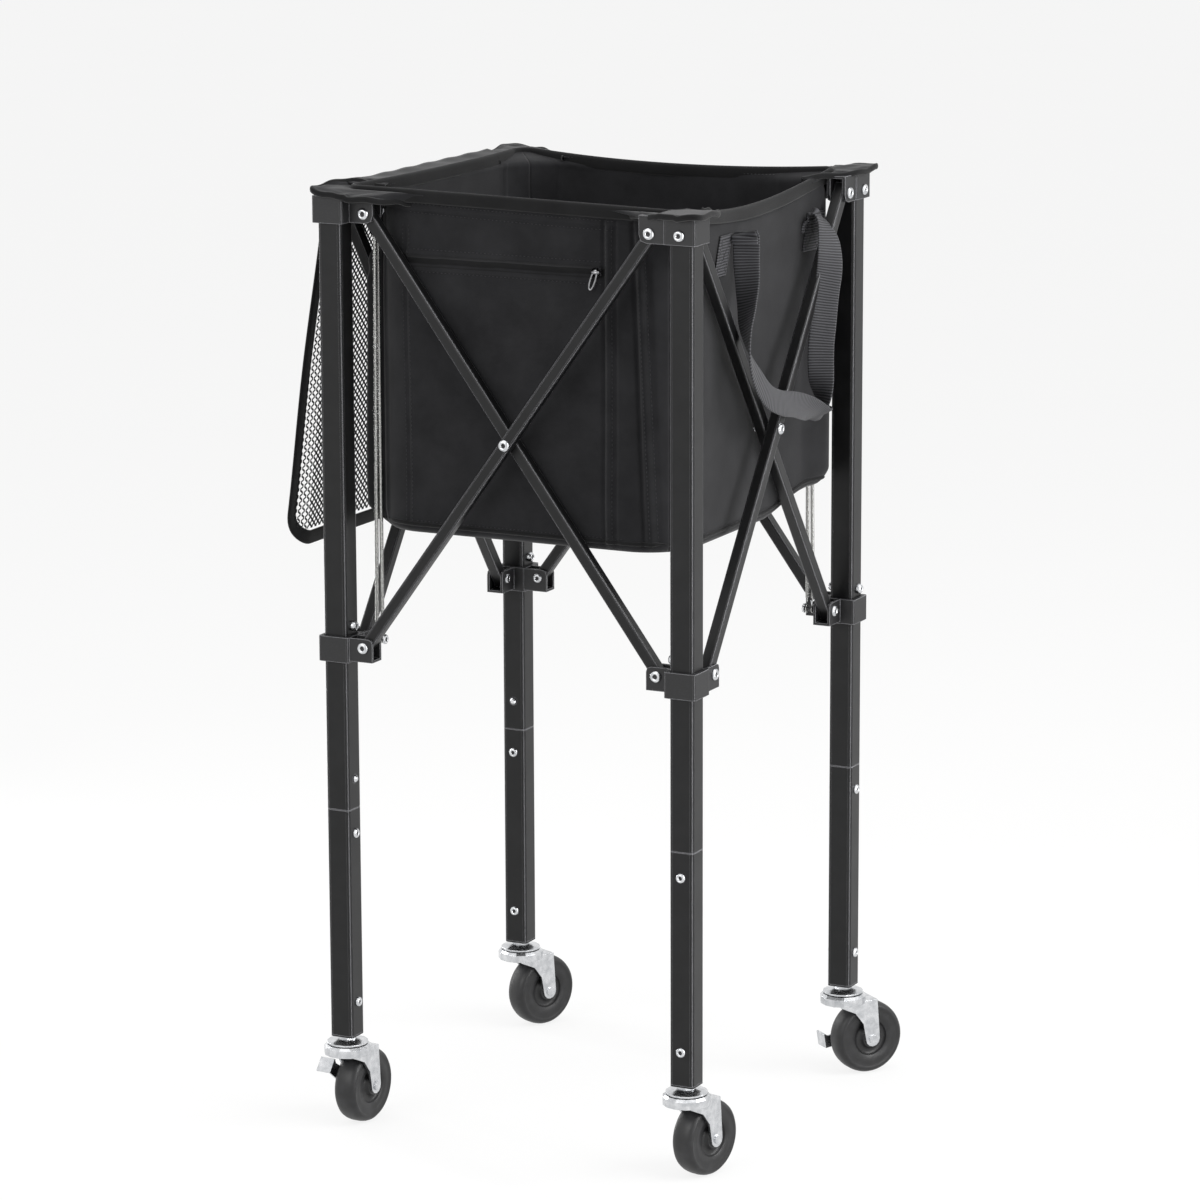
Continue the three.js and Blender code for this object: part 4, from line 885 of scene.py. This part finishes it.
def lid():
    """Knitted net in a bound edge. The net's yarns run down it in steps and touch their neighbours in turn."""
    wide, long = LID_WIDE / 2 - BIND_HALF, LID_LONG - BIND_HALF
    turn = np.linspace(0, math.pi / 2, 13)
    r = LID_ROUND - BIND_HALF
    corner = np.stack([wide - r + r * np.cos(turn), long - r + r * np.sin(turn)], -1)
    side = np.stack([np.full(40, wide), np.linspace(BIND_HALF + 3, long - r - 4, 40)], -1)
    right = np.concatenate([[(wide - 4, BIND_HALF), (wide - 1, BIND_HALF + 1)], side, corner])
    low = np.stack([np.linspace(wide - r - 4, -wide + r + 4, 36), np.full(36, long)], -1)
    left = right[::-1] * [-1, 1]
    top = np.stack([np.linspace(-wide + 8, wide - 8, 36), np.full(36, BIND_HALF)], -1)
    path = np.concatenate([right, low, left, top])
    section = np.array([(-7, 0), (-6.6, 1.0), (-5, 1.5), (-2, 1.35), (0, 1.2), (2, 1.35), (5, 1.5), (6.6, 1.0), (7, 0),
                        (6.6, -1.0), (5, -1.5), (0, -1.3), (-5, -1.5), (-6.6, -1.0)])
    spine = lid_points(path[:, 0], path[:, 1])
    points = swept(spine, section, up=LID_OUT, closed=True)
    edge = surface("lid_binding", points, BINDING, metre_map(way_along(spine)[:, None], section[None, :, 0]),
                   wrap_rows=True, wrap_columns=True)

    pitch, step, half = 4.0, 7.2, 1.2  # between yarns, down one mesh, and half a yarn's width
    shift = np.array([-1, -1, 1, 1]) * (pitch / 2 - half * 0.8)
    rise = np.array([0, 0.22, 0.5, 0.72]) * step
    count = int((LID_LONG - 18) / step)
    down = (9 + np.arange(count)[:, None] * step + rise[None]).ravel()
    sway = np.tile(shift, count)
    columns = np.arange(-(LID_WIDE / 2 - 11), LID_WIDE / 2 - 11, pitch)
    parts = []
    for i, u in enumerate(columns):
        beyond = max(0.0, abs(u) - LID_WIDE / 2 + LID_ROUND)
        keep = down < LID_LONG - 9 - (LID_ROUND - math.sqrt(LID_ROUND ** 2 - beyond ** 2))
        line = lid_points(u + (sway if i % 2 else -sway)[keep], down[keep])
        parts.append(tube_parts(swept(line, ring(half, 4, 0.5), up=LID_OUT)))
    net = joined("lid_net", parts, NET)
    stitches = []
    far = way_along(path)
    centre = np.array([0, LID_LONG / 2])
    for offset in (0.8, 5.2):
        t = np.arange(2, far[-1], 4.2)
        p = np.stack([np.interp(t, far, path[:, i]) for i in (0, 1)], -1)
        toward = np.gradient(p, axis=0)
        toward /= np.linalg.norm(toward, axis=1, keepdims=True)
        inward = np.stack([-toward[:, 1], toward[:, 0]], -1)
        inward *= np.sign(((centre - p) * inward).sum(1, keepdims=True))
        p = p + inward * (offset - 1)
        spot = lid_points(p[:, 0], p[:, 1], 1.45)
        ahead = lid_points(p[:, 0] + toward[:, 0], p[:, 1] + toward[:, 1], 1.45)
        a = (ahead - spot) / np.linalg.norm(ahead - spot, axis=1, keepdims=True)
        stitches.append(stitch_parts(spot, a, np.broadcast_to(LID_OUT, a.shape)))
    thread = joined("lid_stitches", stitches, THREAD)
    for piece in (edge, net, thread):
        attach(piece, "lid")
        gather(piece)
    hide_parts("lid")


def lid_strip():
    """The strip of cloth from the left wall's rim out to the lid's hinge, slack between its two edges."""
    y = np.linspace(-158, 158, 81)
    x, py, share, _ = plan(3, shape=RIM_PLAN)
    # The left wall's own x runs to -Y, and the wall stands at its own y.
    rim = np.interp(-y, x, rim_height(3, share))
    wall = np.interp(-y, x, py)
    w = np.linspace(0, 1, 13)[:, None]
    px = (wall - 1.0) * (1 - w) + HINGE[0] * w
    arch = np.sin(math.pi * w)
    sag = (7 * bump(y, -140, 60) - 2) * arch + 0.7 * np.sin(y / 19) * arch + 0.4 * np.sin(y / 7 + 4 * w) * w
    z = (rim - 3.5) * (1 - w) + (HINGE[2] + 1.0) * w + sag
    points = np.stack([px, y[None] + 0 * px, z], -1)
    piece = surface("lid_strip", points, CLOTH, cloth_uv(points))
    thicken(piece, 1.2)
    ride_wall(piece, 3)


lid_strip()
lid()

# ---------------- springs


NECK, PITCH, STEPS = 7.0, 1.25, 8  # from a pin's hook to the coil, between turns, and points to a turn
EYE, PIN = 3.7, 3.3  # radius of a hook's eye, and where the neck leaves it
SPRING_PLACES = ((20.6, 22.2), (26.6, 28.2))  # each spring's place along the upper and the lower pin


def coil(start, end, outside, wire):
    """A closely wound coil with a hook's neck at each end: radius and turns as whole arrays along its axis."""
    start, end = np.asarray(start, float), np.asarray(end, float)
    axis = end - start
    long = np.linalg.norm(axis)
    axis /= long
    side = np.cross([1, 0, 0], axis)
    side /= np.linalg.norm(side)
    other = np.cross(axis, side)
    turns = int((long - 2 * NECK) / PITCH)
    t = np.arange(turns * STEPS + 1) / STEPS
    radius = (outside - wire) / 2 * smoothstep(t / 0.7) * smoothstep((turns - t) / 0.7)
    travel = NECK + t * (long - 2 * NECK) / turns
    path = start + travel[:, None] * axis + radius[:, None] * (np.cos(t * TURN)[:, None] * side
                                                              + np.sin(t * TURN)[:, None] * other)
    path = np.concatenate([[start], path, [end]])
    return tube_parts(swept(path, ring(wire / 2, 5), up=axis + 0.01 * side))


def hook_parts(centre, axis):
    """A hook's eye of wire round a pin that runs along `axis`."""
    axis, up = np.asarray(axis, float), np.array([0, 0, 1.0])
    t = np.linspace(0, TURN, 25)[:-1]
    circle = np.asarray(centre, float) + EYE * (np.cos(t)[:, None] * np.cross(axis, up) + np.sin(t)[:, None] * up)
    points = swept(circle, ring(0.6, 6), up=axis, closed=True)
    return points.reshape(-1, 3), grid_faces(*points.shape[:2], wrap_rows=True, wrap_columns=True).tolist()


def springs():
    """Two extension springs at corners a and c. The part on the slider slides inside the one on the leg as it folds."""
    for k, corner in ((0, "a"), (2, "c")):
        for which, (top, low) in enumerate(SPRING_PLACES, 1):
            start, end = (REACH, top, TOP - PIN), (low, REACH, LOW + PIN)
            upper = [coil(start, end, 4.3, 1.2), hook_parts((REACH, top, TOP), (0, 1, 0))]
            lower = [coil(start, end, 4.1, 1.1), hook_parts((low, REACH, LOW), (1, 0, 0))]
            for name, parts, body in (("upper", upper, "leg_"), ("lower", lower, "slider_")):
                parts = [(at_corner(p, k), f) for p, f in parts]
                piece = joined(f"spring_{name}_{corner}_{which}", parts, SPRING)
                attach(piece, body + corner)
                if name == "upper":
                    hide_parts(f"spring_{corner}_{which}")


springs()

# ---------------- the handle

# Places along the webbing, in millimetres, and the turn of its width in degrees, counted from LEVEL.
LEVEL = (0.8, -0.6, 0)
HANDLE = np.array([
    (182.2, -50.2, 888, 55), (182.2, -50.4, 894.2, 50), (182.2, -48.4, 897.8, 0), (182.3, -46.6, 894.2, -52),
    (182.3, -46.4, 872, -53), (184.5, -49, 852, -38), (188, -57, 830, -14), (193, -69, 808, 6), (198, -73, 786, 26),
    (203, -67, 764, 48), (207, -50, 744, 60), (209, -24, 733, 68), (209, 6, 727, 76), (209, 32, 720, 92),
    (209, 56, 712, 122), (208.5, 73, 707, 148), (208, 79, 711, 158), (207, 78, 726, 196), (206, 76, 748, 236),
    (206, 76, 774, 244), (206, 81, 796, 244), (204, 91, 820, 244), (203, 102, 846, 250), (199, 110, 868, 272),
    (193, 114, 884, 302), (186, 116, 893.5, 330), (178, 117, 896, 365), (172.8, 117, 889, 405), (171.6, 117, 878, 413)])


STRAP_WIDE, STRAP_THICK = 25.5, 2.0
# The webbing's section, as shares of half its width and half its thickness: a selvedge thicker than the middle.
ACROSS = np.array([-1, -0.97, -0.9, -0.45, 0, 0.45, 0.9, 0.97, 1, 0.97, 0.9, 0.45, 0, -0.45, -0.9, -0.97])
THROUGH = np.array([0, 0.75, 1, 0.9, 0.86, 0.9, 1, 0.75, 0, -0.75, -1, -0.9, -0.86, -0.9, -1, -0.75])
PATCH_LOW, PATCH_HIGH = 859, 897
PATCH_SPOTS = {"front": (-76, -62), "rear": (118, 128)}  # s of each patch's middle at its foot and at its head


def strap():
    """The loop of webbing carried along HANDLE with a lengthwise map in metres, and its length in millimetres."""
    rows = spline(HANDLE, 12 * len(HANDLE))
    path, turn = rows[:, :3], np.radians(rows[:, 3])
    along = np.gradient(path, axis=0)
    along /= np.linalg.norm(along, axis=1, keepdims=True)
    up = np.asarray(LEVEL, float)
    level = up - along * (along @ up)[:, None]
    level /= np.linalg.norm(level, axis=1, keepdims=True)
    side = np.cross(along, level)
    w = level * np.cos(turn)[:, None] + side * np.sin(turn)[:, None]
    n = np.cross(w, along)
    a, b = ACROSS * STRAP_WIDE / 2, THROUGH * STRAP_THICK / 2
    cup = 0.6 * (1 - (2 * a / STRAP_WIDE) ** 2)
    points = path[:, None] + w[:, None] * a[None, :, None] + n[:, None] * (b + cup)[None, :, None]
    far = way_along(path)
    p, faces = tube_parts(points)
    return mesh_object("handle_loop", p, faces, metre_map(a[None], far[:, None]).reshape(-1, 2), WEBBING), far[-1]


def handle():
    """The loop of webbing, and the two patches by which it is sewn to the right wall."""
    loop, long = strap()
    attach(loop, "handle")
    gather(loop)
    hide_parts("handle")
    for name, (foot, head) in PATCH_SPOTS.items():
        z = np.linspace(PATCH_LOW, PATCH_HIGH, 20)
        middle = np.interp(np.linspace(0, 1, 20), [0, 1], [foot, head])
        a = np.linspace(-STRAP_WIDE / 2, STRAP_WIDE / 2, 17)
        spots, _ = on_wall(1, middle[:, None] + a[None], z[:, None] + 0 * a[None], 1.3)
        patch = surface("handle_patch_" + name, spots, WEBBING, metre_map(a[None], z[:, None] - PATCH_LOW))
        thicken(patch, 1.6)
        x0, x1, z0, z1 = middle[1], middle[-2], PATCH_LOW + 2, PATCH_HIGH - 4
        box = [(x0 - 10, z0), (x0 + 10, z0), (x1 + 10, z1), (x1 - 10, z1)]
        parts = [seam(1, line, 3.4, 2.5, 0.34) for line in (box + box[:1], box[::2], box[1::2])]
        thread = joined("handle_stitches_" + name, [(p + np.array([2.1, 0, 0]), f) for p, f in parts], THREAD)
        for made in (patch, thread):
            ride_wall(made, 1)


handle()

# ---------------- the zip


def box_parts(low, high):
    """Corners and faces of many boxes at once, from arrays of their lowest and highest corners."""
    low, high = np.atleast_2d(low).astype(float), np.atleast_2d(high).astype(float)
    pick = np.array([(0, 0, 0), (1, 0, 0), (1, 1, 0), (0, 1, 0), (0, 0, 1), (1, 0, 1), (1, 1, 1), (0, 1, 1)])
    points = low[:, None] + (high - low)[:, None] * pick[None]
    faces = np.array([(0, 3, 2, 1), (4, 5, 6, 7), (0, 1, 5, 4), (1, 2, 6, 5), (2, 3, 7, 6), (3, 0, 4, 7)])
    index = (np.arange(len(low)) * 8)[:, None, None] + faces[None]
    return points.reshape(-1, 3), index.reshape(-1, 4).tolist()


SLIDER_X, SLIDER_Y = 84.0, -168.0
# The slider's outline on the wall, and its bridge's rise from side to side.
SLIDER_BODY = np.array([(-5.2, 0), (-4.6, 3.4), (-1.5, 4.6), (3.0, 4.4), (5.2, 3.2), (5.6, 0), (5.2, -3.2),
                        (3.0, -4.4), (-1.5, -4.6), (-4.6, -3.4)])
SLIDER_DEPTHS = np.array([(0, 0.9), (-0.5, 1.0), (-1.5, 1.0), (-2.0, 0.86)])  # y, and the outline's size there
BRIDGE = np.array([(-4.4, -1.6), (-3.6, -3.0), (0, -3.4), (3.6, -3.0), (4.4, -1.6)])
PULL_SLANT = math.radians(19)  # how far the pull hangs off plumb


def zip_slider():
    """The slider's body as its outline at four depths, with an arched bridge over it."""
    out, size = SLIDER_DEPTHS[:, :1], SLIDER_DEPTHS[:, 1:]
    px, pz = SLIDER_BODY.T
    body = np.stack([SLIDER_X + px * size, SLIDER_Y + out + 0 * px, ZIP_Z + pz * size], -1)
    n = len(SLIDER_BODY)
    faces = grid_faces(4, n, wrap_columns=True).tolist() + [list(range(n)), list(range(3 * n, 4 * n))[::-1]]
    arch = np.stack([SLIDER_X + BRIDGE[:, 0], SLIDER_Y + BRIDGE[:, 1] + 0.2, np.full(5, ZIP_Z)], -1)
    bridge = tube_parts(swept(arch, ring(0.7, 6, 1.5), up=(0, 0, 1)))
    return joined("zip_slider_body", [(body.reshape(-1, 3), faces), bridge], GUNMETAL)


def zip_pull():
    """The pull: wire bent to a long loop, with x as the 0.8th power of a sine and z as a cosine."""
    t = np.linspace(0, TURN, 41)[:-1]
    px, pz = 2.5 * np.sin(t), 9.6 * np.cos(t)
    px, pz = np.sign(px) * np.abs(px) ** 0.8 * 2.5 ** 0.2, pz - 8.2
    c, s = math.cos(PULL_SLANT), math.sin(PULL_SLANT)
    hung = np.stack([SLIDER_X + px * c + pz * s, np.full(40, SLIDER_Y - 2.5), ZIP_Z + 0.5 + pz * c - px * s], -1)
    loop = swept(hung, ring(1.0, 8, 0.6), up=(0, -1, 0), closed=True)
    return surface("zip_pull_loop", loop, GUNMETAL, wrap_rows=True, wrap_columns=True)


def zip_fastener():
    """The zip on the front wall: a tape, its coil as small teeth, the slider and the pull that hangs from it."""
    spot, _ = on_wall(0, np.arange(-124, 90, 1.55), ZIP_Z, 0.4)
    low = spot - [0.5, 0.75, 1.9]
    wall_piece("zip_teeth", 0, [box_parts(low, low + [1.0, 1.1, 3.8])], GUNMETAL)
    s = np.linspace(-128, 93, 111)
    a = np.array([-5.5, -2.2, 2.2, 5.5])
    spots, _ = on_wall(0, s[None] + 0 * a[:, None], ZIP_Z + a[:, None] + 0 * s[None], 0.15)
    tape = surface("zip_tape", spots, BINDING, metre_map(s[None], a[:, None]))
    ride_wall(tape, 0)
    for piece, node_name in ((zip_slider(), "zip_slider"), (zip_pull(), "zip_pull")):
        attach(piece, node_name)
        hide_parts(node_name)
        gather(piece)


zip_fastener()


# ---------------- camera, light and floor


def seen_directly(tree):
    """1 for what the camera sees straight or in a mirror-like surface."""
    path = node(tree, "LightPath").outputs
    return node(tree, "Math", {0: path["Is Camera Ray"], 1: path["Is Glossy Ray"]}, operation="MAXIMUM").outputs[0]


def stage():
    """A pale floor and backdrop in one, a white surround, and soft lamps."""
    scene = bpy.context.scene
    scene.view_settings.view_transform = "Standard"
    camera = bpy.data.objects.new("camera", bpy.data.cameras.new("camera"))
    camera.data.lens = 143.36
    camera.data.sensor_width = 36
    camera.data.clip_end = 100
    scene.collection.objects.link(camera)
    camera.location = place((2068.3, -4133.7, 1503.0))
    look = Vector((-0.4372, 0.8748, -0.2087))
    turn = look.to_track_quat("-Z", "Y").to_matrix().to_4x4()
    roll = math.radians(-0.22)
    camera.rotation_euler = (turn @ Matrix.Rotation(roll, 4, "Z")).to_euler()
    scene.camera = camera

    world = bpy.data.worlds.new("white_surround")
    scene.world = world
    world.use_nodes = True
    t = world.node_tree
    t.nodes.clear()
    through = node(t, "LightPath").outputs["Is Transmission Ray"]
    seen = node(t, "Math", {0: seen_directly(t), 1: through}, operation="MAXIMUM")
    soft = node(t, "Background", Color=rgb("#ffffff"), Strength=0.55)
    white = node(t, "Background", Color=rgb("#ffffff"), Strength=1.0)
    mix = node(t, "MixShader", {0: seen.outputs[0], 1: soft.outputs[0], 2: white.outputs[0]})
    node(t, "OutputWorld", {"Surface": mix.outputs[0]})

    pale, t, b = finish("pale_floor", "#f4f4f3", 0.9, specular=0.1)
    mixed = node(t, "MixRGB", {"Fac": clouds(t, 3)}, Color1=rgb("#f2f2f1"), Color2=rgb("#f7f7f6"))
    t.links.new(mixed.outputs["Color"], b.inputs["Base Color"])
    glow = node(t, "Emission", Color=rgb("#ffffff"), Strength=1.0)
    part = node(t, "Math", {0: seen_directly(t)}, operation="MULTIPLY", i1=0.82)
    mix = node(t, "MixShader", {0: part.outputs[0], 1: b.outputs[0], 2: glow.outputs[0]})
    t.links.new(mix.outputs[0], t.nodes["Material Output"].inputs["Surface"])
    across = 40000.0
    floor = mesh_object("floor", [(-across, -across, 0), (across, -across, 0), (across, across, 0),
                                  (-across, across, 0)], [(0, 1, 2, 3)], material=pale, smooth=False)

    def lamp(name, where, aim, size, power):
        """A soft rectangular lamp, its size in metres, that the camera doesn't see."""
        light = bpy.data.lights.new(name, "AREA")
        light.shape = "RECTANGLE"
        light.size, light.size_y = size
        light.energy = power
        made = bpy.data.objects.new(name, light)
        made.visible_camera = False
        scene.collection.objects.link(made)
        made.location = place(where)
        made.rotation_euler = Vector(np.array(aim, float) - np.array(where, float)).to_track_quat("-Z", "Y").to_euler()

    aim = (0, 0, 560)
    lamp("key_softbox", (2600, 300, 2100), aim, (1.8, 1.8), 62)
    lamp("front_fill", (-900, -3000, 1900), aim, (2.2, 1.6), 34)
    lamp("top_light", (0, 0, 3000), aim, (2.4, 2.4), 22)
    lamp("right_strip", (1500, -500, 500), aim, (0.15, 1.8), 9)
    lamp("left_strip", (-1500, 300, 600), aim, (0.15, 1.8), 9)


stage()
